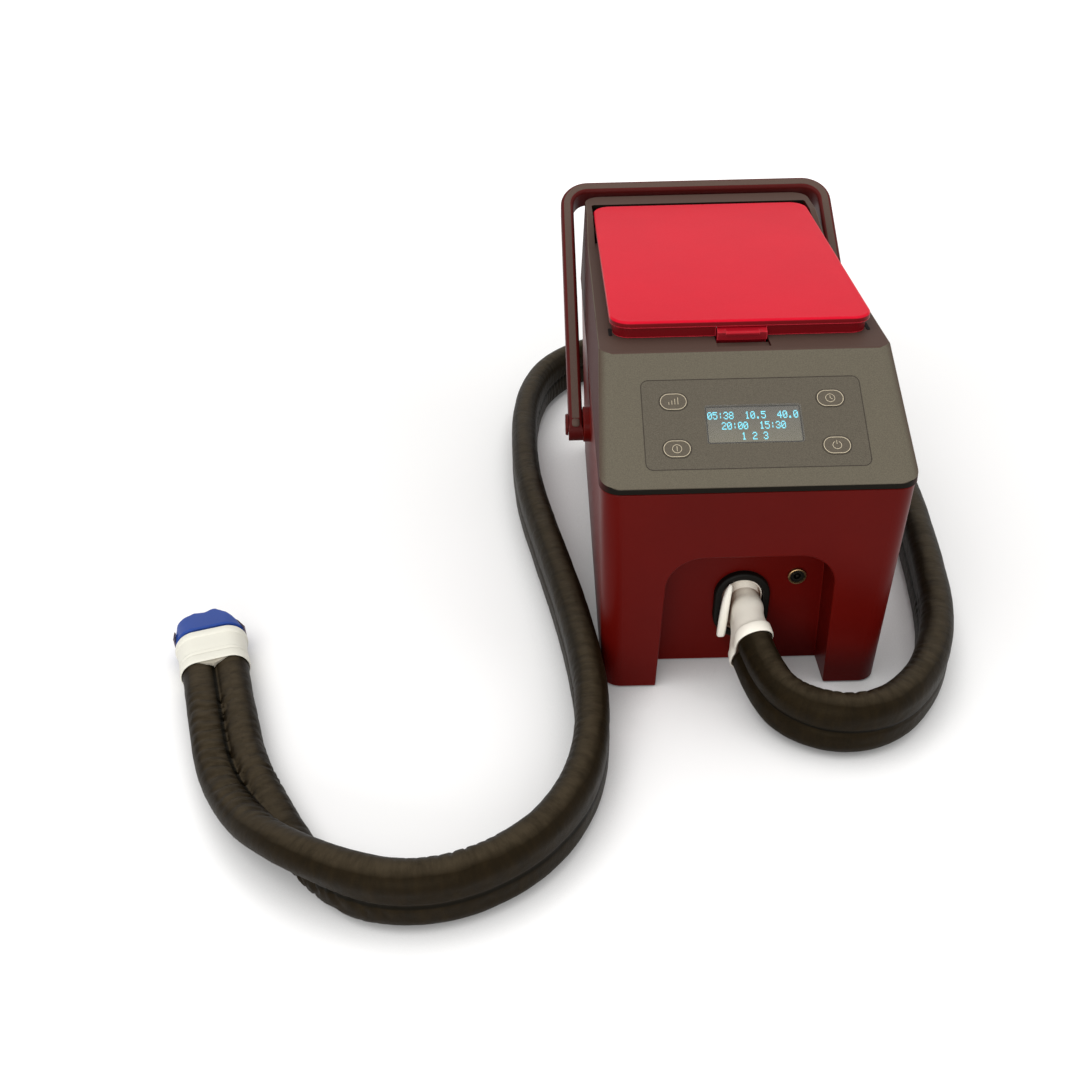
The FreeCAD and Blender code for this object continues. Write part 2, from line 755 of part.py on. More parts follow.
def make_lid():
    lid = plan_block(lid_half, lid_front, lid_back, slab_low, lid_top, lid_round)
    lid = fillet(lid, lid_edge_round, lambda e: abs(e.CenterOfMass.z - lid_top) < 0.01)
    low = top_height + fit_gap
    lid = lid.fuse(lid_ring(skirt_inset, skirt_wall, low, slab_low))
    # rib that presses the gasket
    lid = lid.fuse(mouth(gasket_top + fit_gap, slab_low, 2 * rib_wall).cut(mouth(top_height, slab_low, rib_wall)))
    # bosses for the hinge pins
    for side in (-1, 1):
        outer = side * (lid_half - skirt_inset)
        boss = block(outer, outer - side * hinge_boss, hinge_depth - hinge_boss / 2, hinge_depth + hinge_boss / 2,
                     hinge_height - hinge_boss / 2, slab_low)
        lid = lid.fuse(boss)
        lid = lid.cut(rod(at(outer + side, hinge_depth, hinge_height), X * -side, hinge_pin_radius, hinge_boss))
    # opening in the skirt for the catch, with two ears for its pin
    opening = latch_half + latch_side_gap
    lid = lid.cut(block(-opening, opening, lid_front - 1, lid_front + hinge_boss, low - 1, slab_low))
    for side in (-1, 1):
        lid = lid.fuse(block(side * opening, side * (opening + latch_ear), lid_front + skirt_inset,
                             latch_pin_depth + latch_ear, low + skirt_inset, slab_low))
    return lid.cut(latch_rod(latch_pin_radius, opening + latch_ear)).removeSplitter()


def latch_rod(radius, half):
    return rod(at(-half, latch_pin_depth, latch_pin_height), X, radius, 2 * half)


def make_latch():
    """The catch: a plate on its pin, with a barb in the cover's notch and a pull tab in front."""
    front = lid_front
    pin = latch_pin_height
    low = top_height - latch_barb_depth
    barb = lid_front + latch_barb_reach
    stem_back = lid_front + latch_barb_reach / 2
    back = latch_pin_depth + 2 * latch_pin_radius
    top = pin + latch_tab_rise
    plate = [(front - 3.6, top_height - 0.6), (front - 0.4, top_height - 0.6), (front - 0.4, low), (barb, low),
             (barb, low + 1.2), (stem_back, low + 1.9), (stem_back, top_height + 1.5), (back, pin - 1.9),
             (back, pin + 1.7), (front + 3.6, pin + 1.7), (front, top), (front - 3.2, top - 1.4)]
    plate_radii = [1.0, 0.4, 0.6, 0.3, 0.3, 0.3, 1.0, 1.5, 1.5, 0.4, 0.4, 0.6]
    tab = [(front, top - 2.6), (front, top), (front - 4.6, top), (front - 6.0, top - 1.2), (front - 5.0, top - 2.6)]
    latch = side_prism(plate, plate_radii, -latch_half, latch_half)
    latch = latch.fuse(side_prism(tab, [0, 0, 0.8, 0.8, 0.5], -latch_tab_half, latch_tab_half))
    return latch.cut(latch_rod(latch_pin_radius + pin_clearance, latch_half + 1)).removeSplitter()


def make_latch_pin():
    return latch_rod(latch_pin_radius, latch_half + latch_side_gap + latch_ear)


def make_lid_pins():
    pins = []
    for side in (-1, 1):
        start = at(side * (lid_half - skirt_inset - hinge_boss + 1), hinge_depth, hinge_height)
        length = skirt_inset + hinge_boss - 1 + well_gap + pin_seat - fit_gap
        pins.append(rod(start, X * side, hinge_pin_radius, length))
    return Part.makeCompound(pins)


def make_gasket():
    return mouth(top_height, gasket_top, 3 * rib_wall).cut(mouth(top_height - 1, gasket_top + 1, fit_gap))


def make_tank():
    top = top_height - cover_skin
    outer = plan_block(tank_half, tank_front, tank_back, tank_floor, top, tank_round)
    flange = plan_block(tank_half + tank_flange, tank_front - tank_flange, tank_back + tank_flange - fit_gap,
                        top - tank_wall, top, tank_round + tank_flange)
    inner = plan_block(tank_half - tank_wall, tank_front + tank_wall, tank_back - tank_wall,
                       tank_floor + tank_wall, top + 1, tank_round - tank_wall)
    outlet = rod(pump_at(tank_floor - outlet_length), Z, spigot_radius, outlet_length + tank_wall)
    tank = outer.fuse(flange).cut(inner).fuse(outlet)
    return tank.cut(rod(pump_at(tank_floor - outlet_length - 1), Z, spigot_bore, 2 * outlet_length)).removeSplitter()


# ---------------------------------------------------------------- handle
def handle_place(shape):
    """From the handle's own axes (x, along the arms, across them) to the console's."""
    shape.rotate(Vector(0, 0, 0), X, handle_lean)
    shape.translate(at(0, handle_pivot_depth, handle_pivot_height))
    return shape


def bail(outer_half, inner_half, reach, start, t0, t1, corner):
    """A flat U, open at its start, lying across the arms' plane."""
    thick = outer_half - inner_half
    points = [Vector(-outer_half, start, t0), Vector(-inner_half, start, t0),
              Vector(-inner_half, reach - thick, t0), Vector(inner_half, reach - thick, t0),
              Vector(inner_half, start, t0), Vector(outer_half, start, t0),
              Vector(outer_half, reach, t0), Vector(-outer_half, reach, t0)]
    radii = [0, 0, corner - thick, corner - thick, 0, 0, corner, corner]
    return prism(points, radii, Z * (t1 - t0))


def make_handle():
    half_width = handle_width / 2
    bar = handle_reach + handle_thickness / 2
    body = bail(handle_half, arm_inner, bar, -handle_end, -half_width, half_width, handle_corner)
    body = fillet(body, handle_round, lambda e: abs(abs(e.CenterOfMass.z) - half_width) < 0.01
                  and e.BoundBox.YMax > -handle_end + 1)
    side = -handle_half - 1
    profile = [Vector(side, -handle_end, -half_width), Vector(side, bar + 1, -half_width),
               Vector(side, bar + 1, half_width), Vector(side, -handle_end, half_width)]
    round_end = half_width - 0.5
    body = body.common(prism(profile, [round_end, 0, 0, round_end], X * -2 * side))
    body = body.cut(strip_shape(strip_gap, half_width - strip_depth, half_width + 1))
    body = body.cut(rod(Vector(side, 0, 0), X, pivot_pin_radius + pin_clearance, -2 * side))
    return handle_place(body.removeSplitter())


def strip_shape(grow, t0, t1):
    """The strip's own U along the middle of the handle's face."""
    middle_line = handle_half - handle_thickness / 2
    half = strip_width / 2 + grow
    return bail(middle_line + half, middle_line - half, handle_reach + half, -grow, t0, t1,
                handle_corner - handle_thickness / 2 + half)


def make_handle_strip():
    return handle_place(strip_shape(0, handle_width / 2 - strip_depth, handle_width / 2 + strip_proud))


def make_handle_pin(side):
    inner = pin_root()
    face = handle_half + fit_gap
    pin = rod(at(side * inner, handle_pivot_depth, handle_pivot_height), X * side, pivot_pin_radius, face - inner)
    head = rod(at(side * face, handle_pivot_depth, handle_pivot_height), X * side, pivot_head_radius, pivot_head)
    outer = side * (face + pivot_head)
    head = fillet(head, cover_round, lambda e: abs(e.CenterOfMass.x - outer) < 0.01)
    slot = block(outer, outer - side, handle_pivot_depth - pivot_pin_radius, handle_pivot_depth + pivot_pin_radius,
                 handle_pivot_height - driver_slot / 2, handle_pivot_height + driver_slot / 2)
    return pin.fuse(head).cut(slot).removeSplitter()


# ---------------------------------------------------------------- port, jack
def port_centre(depth):
    return at(port_x, depth, port_height)


def port_inside():
    """Width and height of the opening inside the ring."""
    return port_ring_width - 2 * port_ring_wall, port_ring_tall - 2 * port_ring_wall


def port_hole():
    width, tall = port_inside()
    return width + 2 * socket_wall + fit_gap, tall + 2 * socket_wall + fit_gap


def make_port_ring():
    start = port_centre(recess_depth - port_ring_proud)
    ring = stadium_prism(start, X, Z, port_ring_width, port_ring_tall, Y * port_ring_proud)
    ring = fillet(ring, lid_edge_round, lambda e: abs(e.CenterOfMass.y - start.y) < 0.01)
    return ring.cut(stadium_prism(start - Y, X, Z, *port_inside(), Y * (port_ring_proud + 2)))


def make_port_socket():
    width, tall = port_inside()
    start = port_centre(recess_depth)
    body = stadium_prism(start, X, Z, width + 2 * socket_wall, tall + 2 * socket_wall, Y * (socket_back - recess_depth))
    flange = stadium_prism(port_centre(recess_depth + wall), X, Z, width + 2 * (socket_wall + socket_flange),
                           tall + 2 * (socket_wall + socket_flange), Y * wall)
    hollow = stadium_prism(start - Y, X, Z, width, tall, Y * (1 + socket_back - wall - recess_depth))
    socket = body.fuse(flange).cut(hollow)
    for z in spigot_heights:
        back = at(port_x, socket_back - wall, z)
        socket = socket.fuse(rod(back, Y, spigot_radius, spigot_length))
        socket = socket.cut(rod(back - Y, Y, spigot_bore, 2 * spigot_length))
    return socket.removeSplitter()


def make_power_jack():
    start = at(jack_x, recess_depth - jack_proud, jack_height)
    seat = at(jack_x, recess_depth + wall, jack_height)
    body = rod(start, Y, jack_thread_radius, jack_proud + wall + 1)
    body = body.fuse(rod(seat, Y, jack_body_radius, jack_body_length))
    body = body.cut(rod(start - Y, Y, jack_bore_radius, 1 + jack_bore_depth))
    return body.fuse(rod(start + Y * fit_gap, Y, jack_pin_radius, jack_bore_depth)).removeSplitter()


def make_jack_nut():
    start = at(jack_x, recess_depth - jack_nut_proud, jack_height)
    nut = rod(start, Y, jack_nut_radius, jack_nut_proud)
    nut = fillet(nut, rim_round, lambda e: abs(e.CenterOfMass.y - start.y) < 0.01)
    nut = nut.cut(rod(at(jack_x, recess_depth - jack_proud, jack_height), Y, jack_thread_radius, jack_proud + 1))
    return nut.cut(Part.makeCone(jack_thread_radius - 0.2, jack_thread_radius - 1, jack_nut_proud, start, Y))


# ---------------------------------------------------------------- hose
# Points of the hose's route (across, depth, height of its middle), from the elbow to the coupler.
hose_route = [
    (5.6, 2.0, 36.0), (10.0, -18.5, 29.0), (22.0, -44.0, 23.6), (52.0, -62.0, 23.6),
    (88.0, -56.0, 23.6), (116.0, -30.0, 23.6), (136.0, 4.0, 23.6), (150.0, 46.0, 23.6),
    (158.0, 96.0, 23.6), (165.0, 152.0, 23.6), (171.0, 215.0, 23.6), (170.0, 284.0, 23.6),
    (156.0, 360.0, 23.6), (117.0, 432.0, 23.6), (52.0, 484.0, 23.6), (-26.0, 512.0, 23.6),
    (-92.0, 500.0, 23.6), (-136.0, 450.0, 23.6), (-153.0, 382.0, 23.6), (-155.0, 306.0, 23.6),
    (-151.0, 232.0, 23.6), (-138.0, 158.0, 23.6), (-124.0, 86.0, 23.6), (-113.0, 18.0, 23.6),
    (-107.5, -48.0, 23.6), (-116.0, -112.0, 23.6), (-146.0, -160.0, 23.6), (-192.0, -187.0, 23.6),
    (-240.0, -189.5, 23.6), (-284.0, -165.5, 22.4), (-319.0, -127.0, 17.6), (-347.0, -81.0, 13.4),
    (-363.5, -32.0, 15.6), (-379.0, 16.0, 15.6)]
riser_points = 3            # points of the stretch that comes down to the floor
tail_points = 6             # points of the stretch that turns onto its flat side


def rounded_route(points):
    """Straight runs joined by tangent arcs, each as large as its two runs allow."""
    places = [at(*p) for p in points]
    edges = []
    radii = []
    here = places[0]
    for before, corner, after in zip(places, places[1:], places[2:]):
        back = (before - corner).normalize()
        ahead = (after - corner).normalize()
        half_turn = (math.pi - back.getAngle(ahead)) / 2
        reach = 0.45 * min((before - corner).Length, (after - corner).Length)
        radius = reach / math.tan(half_turn)
        radii.append(round(radius))
        start = corner + back * reach
        end = corner + ahead * reach
        inward = (back + ahead).normalize()
        apex = corner + inward * (radius / math.cos(half_turn) - radius)
        edges.append(Part.LineSegment(here, start).toShape())
        edges.append(Part.Arc(start, apex, end).toShape())
        here = end
    edges.append(Part.LineSegment(here, places[-1]).toShape())
    return edges, radii


def halves(run):
    """A straight run as two."""
    start, end = [vertex.Point for vertex in run.Vertexes]
    centre = (start + end) / 2
    return Part.LineSegment(start, centre).toShape(), Part.LineSegment(centre, end).toShape()


def hose_paths():
    """The hose's three stretches, cut in the middle of the runs where they join."""
    edges, radii = rounded_route(hose_route)
    print("hose arc radii", radii)
    first = 2 * (riser_points - 1)
    second = 2 * (len(hose_route) - tail_points - 1)
    down, on = halves(edges[first])
    along, over = halves(edges[second])
    return (Part.Wire(edges[:first] + [down]), Part.Wire([on] + edges[first + 1:second] + [along]),
            Part.Wire([over] + edges[second + 1:]))


def report_hose(name, path, solid):
    """Print a hose length's own length and its volume over section times length."""
    area = math.pi * hose_thick ** 2 / 4 + hose_thick * (hose_wide - hose_thick)
    print(name, "length", round(path.Length), "volume share", round(solid.Volume / (area * path.Length), 4))


def make_hose():
    """The stretch that stands on its edge."""
    path = hose_paths()[1]
    start = path.Edges[0].valueAt(path.Edges[0].FirstParameter)
    across = path.Edges[0].tangentAt(path.Edges[0].FirstParameter).cross(Z).normalize()
    solid = path.makePipeShell([stadium(start, across, Z, hose_thick, hose_wide)], True, False)
    report_hose("hose", path, solid)
    return solid


def place_along(path, share):
    """Point and direction at a share of a wire's length."""
    left = path.Length * share
    for edge in path.Edges:
        if left <= edge.Length + 1e-6:
            parameter = edge.getParameterByLength(min(left, edge.Length))
            return edge.valueAt(parameter), edge.tangentAt(parameter)
        left -= edge.Length
    last = path.Edges[-1]
    return last.valueAt(last.LastParameter), last.tangentAt(last.LastParameter)


def lofted_hose(name, path, turn_at, steps):
    """A short stretch of hose through sections; turn_at gives how far each has turned over."""
    rings = []
    for i in range(steps + 1):
        share = i / steps
        centre, ahead = place_along(path, share)
        turn = turn_at(share)
        resting = floor_gap + hose_thick / 2 + (hose_wide - hose_thick) / 2 * math.cos(turn)
        centre.z = max(centre.z, resting)
        across = ahead.cross(Z).normalize()
        up = across.cross(ahead).normalize()
        along = up * math.cos(turn) + across * math.sin(turn)
        thin = across * math.cos(turn) - up * math.sin(turn)
        rings.append(stadium(centre, thin, along, hose_thick, hose_wide))
    solid = Part.makeLoft(rings, True, True)
    report_hose(name, path, solid)
    return solid


def make_hose_riser():
    """The first stretch, from the elbow down to the floor."""
    return lofted_hose("riser", hose_paths()[0], lambda share: 0.0, 14)


def make_hose_tail():
    """The last stretch, which turns over from its edge to its flat side."""
    def turn_at(share):
        return math.pi / 2 * (0.5 - 0.5 * math.cos(math.pi * min(share / tail_turn, 1.0)))
    return lofted_hose("tail", hose_paths()[2], turn_at, 30)


# ---------------------------------------------------------------- coupler at the hose's end
def coupler_axis():
    """Middle of the hose's end and the level direction in which the coupler points."""
    last = at(*hose_route[-1])
    ahead = last - at(*hose_route[-2])
    return Vector(last.x, last.y, coupler_height), Vector(ahead.x, ahead.y, 0).normalize()


def coupler_block(start, length, near, far):
    """An oval block on the coupler's axis, from its near width and thickness to its far ones."""
    base, ahead = coupler_axis()
    across = ahead.cross(Z).normalize()
    first = stadium(base + ahead * start, Z, across, near[1], near[0])
    second = stadium(base + ahead * (start + length), Z, across, far[1], far[0])
    return Part.makeLoft([first, second], True, True)


def round_ends(solid, radius):
    """Round the edges of an oval block's end faces."""
    ahead = coupler_axis()[1]
    ends = [f for f in solid.Faces if isinstance(f.Surface, Part.Plane) and abs(f.normalAt(0, 0).dot(ahead)) > 0.99]
    return solid.makeFillet(radius, [e for f in ends for e in f.Edges])


def make_coupler_clamp():
    size = (clamp_wide, clamp_thick)
    return round_ends(coupler_block(0, clamp_length, size, size), coupler_round)


def make_coupler_collar():
    near = (clamp_wide, clamp_thick)
    far = (collar_wide, collar_thick)
    collar = round_ends(coupler_block(clamp_length, collar_length, near, far), coupler_round)
    hole = (collar_wide - 2 * collar_wall, collar_thick - 2 * collar_wall)
    return collar.cut(coupler_block(clamp_length + collar_length - release_stem, release_stem + 1, hole, hole))


def make_coupler_release():
    """A tapering cap with two ridges on its end; its stem slides in the collar."""
    start = clamp_length + collar_length + release_gap
    wide, thick = collar_wide - 1, collar_thick - 1
    cap = coupler_block(start, release_length, (wide, thick), (wide, release_tip_thick))
    cap = round_ends(cap, coupler_round)
    base, ahead = coupler_axis()
    across = ahead.cross(Z).normalize()
    floor = base - Z * coupler_height + ahead * start
    corners = [floor + ahead * (along * release_length) + across * (side * wide / 2)
               for along, side, _ in release_outline]
    cap = cap.common(prism(corners, [rounding for _, _, rounding in release_outline], Z * 2 * coupler_height))
    slide = 2 * (collar_wall + fit_gap)
    stem = (collar_wide - slide, collar_thick - slide)
    length = release_gap + release_stem - release_travel - fit_gap
    return cap.fuse(coupler_block(start - length, length, stem, stem)).removeSplitter()


# ---------------------------------------------------------------- elbow at the port
def elbow_ring(x, depth, z, tilt, yaw, width, tall):
    """A section of the elbow: tilt is how far its axis points down, yaw how far to the right."""
    ahead = Vector(math.sin(yaw) * math.cos(tilt), -math.cos(yaw) * math.cos(tilt), -math.sin(tilt))
    across = ahead.cross(Z).normalize()
    along = across.cross(ahead).normalize()
    return stadium(at(x, depth, z), across, along, width, tall)


def make_elbow():
    """The plug in the port, the neck that turns the hose down, and the lever's pin."""
    width, tall = [size - 2 * fit_gap for size in port_inside()]
    face = recess_depth - port_ring_proud + plug_inset
    plug = stadium_prism(port_centre(face), X, Z, width, tall, Y * plug_length)
    hose_x, hose_depth, hose_height = hose_route[0]
    ahead = (at(*hose_route[1]) - at(*hose_route[0])).normalize()
    tilt = math.asin(-ahead.z)
    yaw = math.atan2(ahead.x, -ahead.y)
    mouth_size = (hose_thick + 2 * elbow_lip, hose_wide + 2 * elbow_lip)
    back = elbow_mouth * math.cos(tilt)
    collar_centre = (hose_x - back * math.tan(yaw), hose_depth + back, hose_height + elbow_mouth * math.sin(tilt))
    waist_depth = (face + collar_centre[1]) / 2
    waist = (neck_width, (neck_tall + mouth_size[1]) / 2)
    rings = [elbow_ring(neck_x, face, neck_height, 0, 0, neck_width, neck_tall),
             elbow_ring(neck_x - 0.6, waist_depth, (neck_height + collar_centre[2]) / 2, tilt / 2, yaw / 2, *waist),
             elbow_ring(*collar_centre, tilt, yaw, mouth_size[0] - elbow_lip, mouth_size[1] - elbow_lip),
             elbow_ring(hose_x, hose_depth, hose_height, tilt, yaw, *mouth_size)]
    elbow = plug.fuse(Part.makeLoft(rings, True, False))
    pin = rod(at(lever_pivot_x, lever_front(), lever_pivot_height), Y, lever_pin_radius, face - lever_front())
    return elbow.fuse(pin).removeSplitter()


def lever_front():
    return recess_depth - port_ring_proud - lever_gap - lever_thickness


def make_elbow_latch():
    """The squeeze lever beside the elbow's neck, which swings in on the elbow's pin."""
    top = lever_pivot_height + 5.2
    left = lever_pivot_x - 4.6
    right = neck_x - neck_width / 2 - 2.2
    low = lever_pivot_height - 35.5
    edge = [(lever_pivot_x - 2.2, top), (right + 0.2, top + 0.4), (right, lever_pivot_height - 17),
            (right - 1.0, low + 0.8), (left + 0.6, low), (left - 0.2, lever_pivot_height - 24)]
    lever = front_prism(edge, [2.0, 2.0, 6.0, 2.0, 2.2, 10.0], lever_front(), lever_front() + lever_thickness)
    lever = fillet(lever, cover_round, lambda e: abs(e.CenterOfMass.y + middle - lever_front()) < 0.01)
    hole = rod(at(lever_pivot_x, lever_front() - 1, lever_pivot_height), Y, lever_pin_radius + pin_clearance,
               lever_thickness + 2)
    return lever.cut(hole).removeSplitter()


# ---------------------------------------------------------------- cooling stack, fan and pump
def make_heat_sink():
    low = stack_height - sink_half
    sink = block(-sink_half, sink_half, sink_front, sink_front + sink_base, low, low + 2 * sink_half)
    pitch = (2 * sink_half - fin_thickness) / (fin_count - 1)
    for i in range(fin_count):
        x = -sink_half + i * pitch
        sink = sink.fuse(block(x, x + fin_thickness, sink_front + sink_base, sink_back, low, low + 2 * sink_half))
    return sink.removeSplitter()


def make_modules():
    half = module_side / 2
    modules = []
    for side in (-1, 1):
        x = side * (half + module_spread)
        modules.append(block(x - half, x + half, sink_front - module_thickness, sink_front,
                             stack_height - half, stack_height + half))
    return Part.makeCompound(modules)


def make_cold_plate():
    """The water block before the modules, with a spigot at each side."""
    back = sink_front - module_thickness
    plate = plan_block(plate_half, stack_front, back, stack_height - plate_tall / 2,
                       stack_height + plate_tall / 2, wall)
    for side in (-1, 1):
        start = at(side * (plate_half - plate_port_inset), stack_front, stack_height)
        plate = plate.fuse(rod(start, Y * -1, spigot_radius, spigot_length - 2))
        plate = plate.cut(rod(start + Y * (plate_block / 3), Y * -1, spigot_bore, 2 * spigot_length))
    return plate


def fan_centre(depth):
    return at(0, depth, stack_height)


def fan_corners(depth):
    return [at(across * fan_hole_spread, depth, stack_height + up * fan_hole_spread)
            for across in (-1, 1) for up in (-1, 1)]


def make_fan_frame():
    half = fan_side / 2
    low = stack_height - half
    frame = front_prism([(-half, low), (half, low), (half, low + fan_side), (-half, low + fan_side)], 5,
                        sink_back, sink_back + fan_depth)
    frame = frame.cut(rod(fan_centre(sink_back - 1), Y, fan_bore_radius, fan_depth + 2))
    hub = rod(fan_centre(sink_back), Y, fan_hub_radius, wall)
    for i in range(4):
        strut = block(0, fan_bore_radius + 2, sink_back, sink_back + wall, stack_height - fan_strut / 2,
                      stack_height + fan_strut / 2)
        strut.rotate(fan_centre(sink_back), Y, 45 + 90 * i)
        hub = hub.fuse(strut)
    frame = frame.fuse(hub).fuse(rod(fan_centre(sink_back), Y, fan_shaft_radius, fan_depth - 8))
    for corner in fan_corners(sink_back - 1):
        frame = frame.cut(rod(corner, Y, screw_radius + fit_gap, fan_depth + 2))
    return frame.removeSplitter()


def make_fan_rotor():
    """Hub and pitched blades on the frame's shaft."""
    rotor = rod(fan_centre(sink_back + wall + 1), Y, fan_hub_radius, fan_depth - wall - 2)
    rotor = rotor.cut(rod(fan_centre(sink_back + wall), Y, fan_shaft_radius + pin_clearance, fan_depth - 8 - fit_gap))
    root = fan_hub_radius - wall
    for i in range(blade_count):
        blade = Part.makeBox(fan_bore_radius - 2 - root, blade_thickness, blade_chord,
                             Vector(root, -blade_thickness / 2, -blade_chord / 2))
        blade.rotate(Vector(0, 0, 0), X, -blade_pitch)
        blade.rotate(Vector(0, 0, 0), Y, 360.0 / blade_count * i)
        blade.translate(fan_centre(sink_back + (fan_depth + wall) / 2))
        rotor = rotor.fuse(blade)
    return rotor.removeSplitter()


def make_fan_screws():
    screws = []
    for corner in fan_corners(sink_back + fan_depth):
        screws.append(rod(corner, Y, screw_head_radius, 2.0).fuse(rod(corner, Y * -1, screw_radius, fan_depth)))
    return Part.makeCompound(screws)


def pump_at(z):
    return at(pump_x, pump_depth, z)


def make_pump_body():
    """A can with its pumping chamber at the top, an inlet up and an outlet to the front."""
    top = pump_low + pump_height
    chamber_low = top - chamber_roof - chamber_height
    body = rod(pump_at(pump_low), Z, pump_radius, pump_height)
    body = body.cut(rod(pump_at(chamber_low), Z, pump_radius - chamber_wall, chamber_height))
    body = body.fuse(rod(pump_at(top), Z, spigot_radius, spigot_length))
    body = body.cut(rod(pump_at(top - chamber_roof - 1), Z, spigot_bore, 2 * spigot_length))
    body = body.fuse(rod(pump_at(chamber_low), Z, screw_radius, chamber_height - chamber_roof))
    outlet = at(pump_x, pump_depth - pump_radius + 2, pump_outlet_height)
    body = body.fuse(rod(outlet, Y * -1, spigot_radius, spigot_length + 2))
    body = body.cut(rod(outlet + Y * chamber_wall, Y * -1, spigot_bore, 2 * spigot_length))
    return body.removeSplitter()


def make_impeller():
    low = pump_low + pump_height - chamber_roof - chamber_height
    height = chamber_height - chamber_roof
    radius = pump_radius - chamber_wall - 1
    wheel = rod(pump_at(low + fit_gap), Z, radius, 2.0)
    for i in range(vane_count):
        vane = Part.makeBox(radius - spigot_radius, blade_thickness, height - 1,
                            Vector(spigot_radius, -blade_thickness / 2, 0))
        vane.rotate(Vector(0, 0, 0), Z, 360 / vane_count * i)
        vane.translate(pump_at(low + fit_gap + 1))
        wheel = wheel.fuse(vane)
    wheel = wheel.fuse(rod(pump_at(low + fit_gap), Z, spigot_radius + 1, height))
    return wheel.cut(rod(pump_at(low - 1), Z, screw_radius + pin_clearance, height + 2)).removeSplitter()


def make_main_board():
    """The power and control board, with a chip and a relay."""
    (x0, d0), (x1, d1) = board_posts[0], board_posts[3]
    z = plate_top + board_post_height
    top = z + board_thickness
    rim = part_inset / 2
    board = block(x0 - rim, x1 + rim, d0 - rim, d1 + rim, z, top)
    chip = block(x0 + part_inset, x0 + part_inset + chip_side, d0 + part_inset, d0 + part_inset + chip_side,
                 top, top + chip_height)
    relay = block(x1 - part_inset - relay_side, x1 - part_inset, d1 - part_inset - relay_side, d1 - part_inset,
                  top, top + relay_side)
    return board.fuse(chip).fuse(relay)


def bent_tube(points):
    """A water tube along straight runs joined by arcs."""
    path = Part.Wire(rounded_route(points)[0])
    first = path.Edges[0]
    start = first.valueAt(first.FirstParameter)
    ahead = first.tangentAt(first.FirstParameter)
    outer = Part.Wire(Part.makeCircle(tube_radius, start, ahead))
    inner = Part.Wire(Part.makeCircle(tube_radius - tube_wall, start, ahead))
    return path.makePipeShell([outer], True, False).cut(path.makePipeShell([inner], True, False))


def make_supply_tube():
    """Pump outlet to the port's lower spigot."""
    start = pump_depth - pump_radius - 2
    end = socket_back + 1
    return bent_tube([(pump_x, start, pump_outlet_height), (pump_x, start - tube_run, pump_outlet_height),
                      (port_x, end + tube_run, spigot_heights[0]), (port_x, end, spigot_heights[0])])


def make_return_tube():
    """Port's upper spigot to the cold plate."""
    start = socket_back + 1
    x = plate_half - plate_port_inset
    return bent_tube([(port_x, start, spigot_heights[1]), (port_x, start + tube_run, spigot_heights[1]),
                      (x, stack_front - 4 * tube_run, stack_height), (x, stack_front - 1, stack_height)])


def make_tank_tube():
    """Tank outlet down to the pump's inlet."""
    low = pump_low + pump_height + 1
    tube = rod(pump_at(low), Z, tube_radius, tank_floor - 1 - low)
    return tube.cut(rod(pump_at(low - 1), Z, tube_radius - tube_wall, tank_floor))


# ---------------------------------------------------------------- write every node
def main():
    os.makedirs("parts", exist_ok=True)
    nodes = {
        "housing": make_housing, "base_plate": make_base_plate, "rubber_feet": make_feet,
        "base_screws": make_base_screws, "rear_grille": make_rear_grille, "top_cover": make_top_cover,
        "membrane_overlay": make_overlay, "lcd_window": make_window, "lcd_module": make_lcd_module,
        "key_board": make_key_board, "key_switches": make_key_switches, "lid": make_lid,
        "lid_latch": make_latch, "latch_pin": make_latch_pin, "lid_hinge_pins": make_lid_pins,
        "lid_gasket": make_gasket, "water_tank": make_tank, "handle": make_handle,
        "handle_strip": make_handle_strip, "port_ring": make_port_ring, "port_socket": make_port_socket,
        "power_jack": make_power_jack, "jack_nut": make_jack_nut, "hose": make_hose,
        "hose_riser": make_hose_riser, "hose_tail": make_hose_tail, "hose_elbow": make_elbow,
        "elbow_latch": make_elbow_latch, "coupler_clamp": make_coupler_clamp,
        "coupler_collar": make_coupler_collar, "coupler_release": make_coupler_release,
        "heat_sink": make_heat_sink, "peltier_modules": make_modules, "cold_plate": make_cold_plate,
        "fan_frame": make_fan_frame, "fan_rotor": make_fan_rotor, "fan_screws": make_fan_screws,
        "pump_body": make_pump_body, "pump_impeller": make_impeller, "main_board": make_main_board,
        "supply_tube": make_supply_tube, "return_tube": make_return_tube, "tank_tube": make_tank_tube,
    }
    for name, make in nodes.items():
        export(name, make())
    for name, (x, down) in zip(key_names, key_places):
        export(name, make_key(x, down))
    for name, side in (("handle_pin_left", -1), ("handle_pin_right", 1)):
        export(name, make_handle_pin(side))


main()
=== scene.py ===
"""Looks of the hot and cold therapy console and its twin hose.

Metres, +Z up, the front faces -Y, the origin lies on the floor under the console's middle.
"""
import bmesh
import bpy
import math
from mathutils import Matrix, Vector, noise


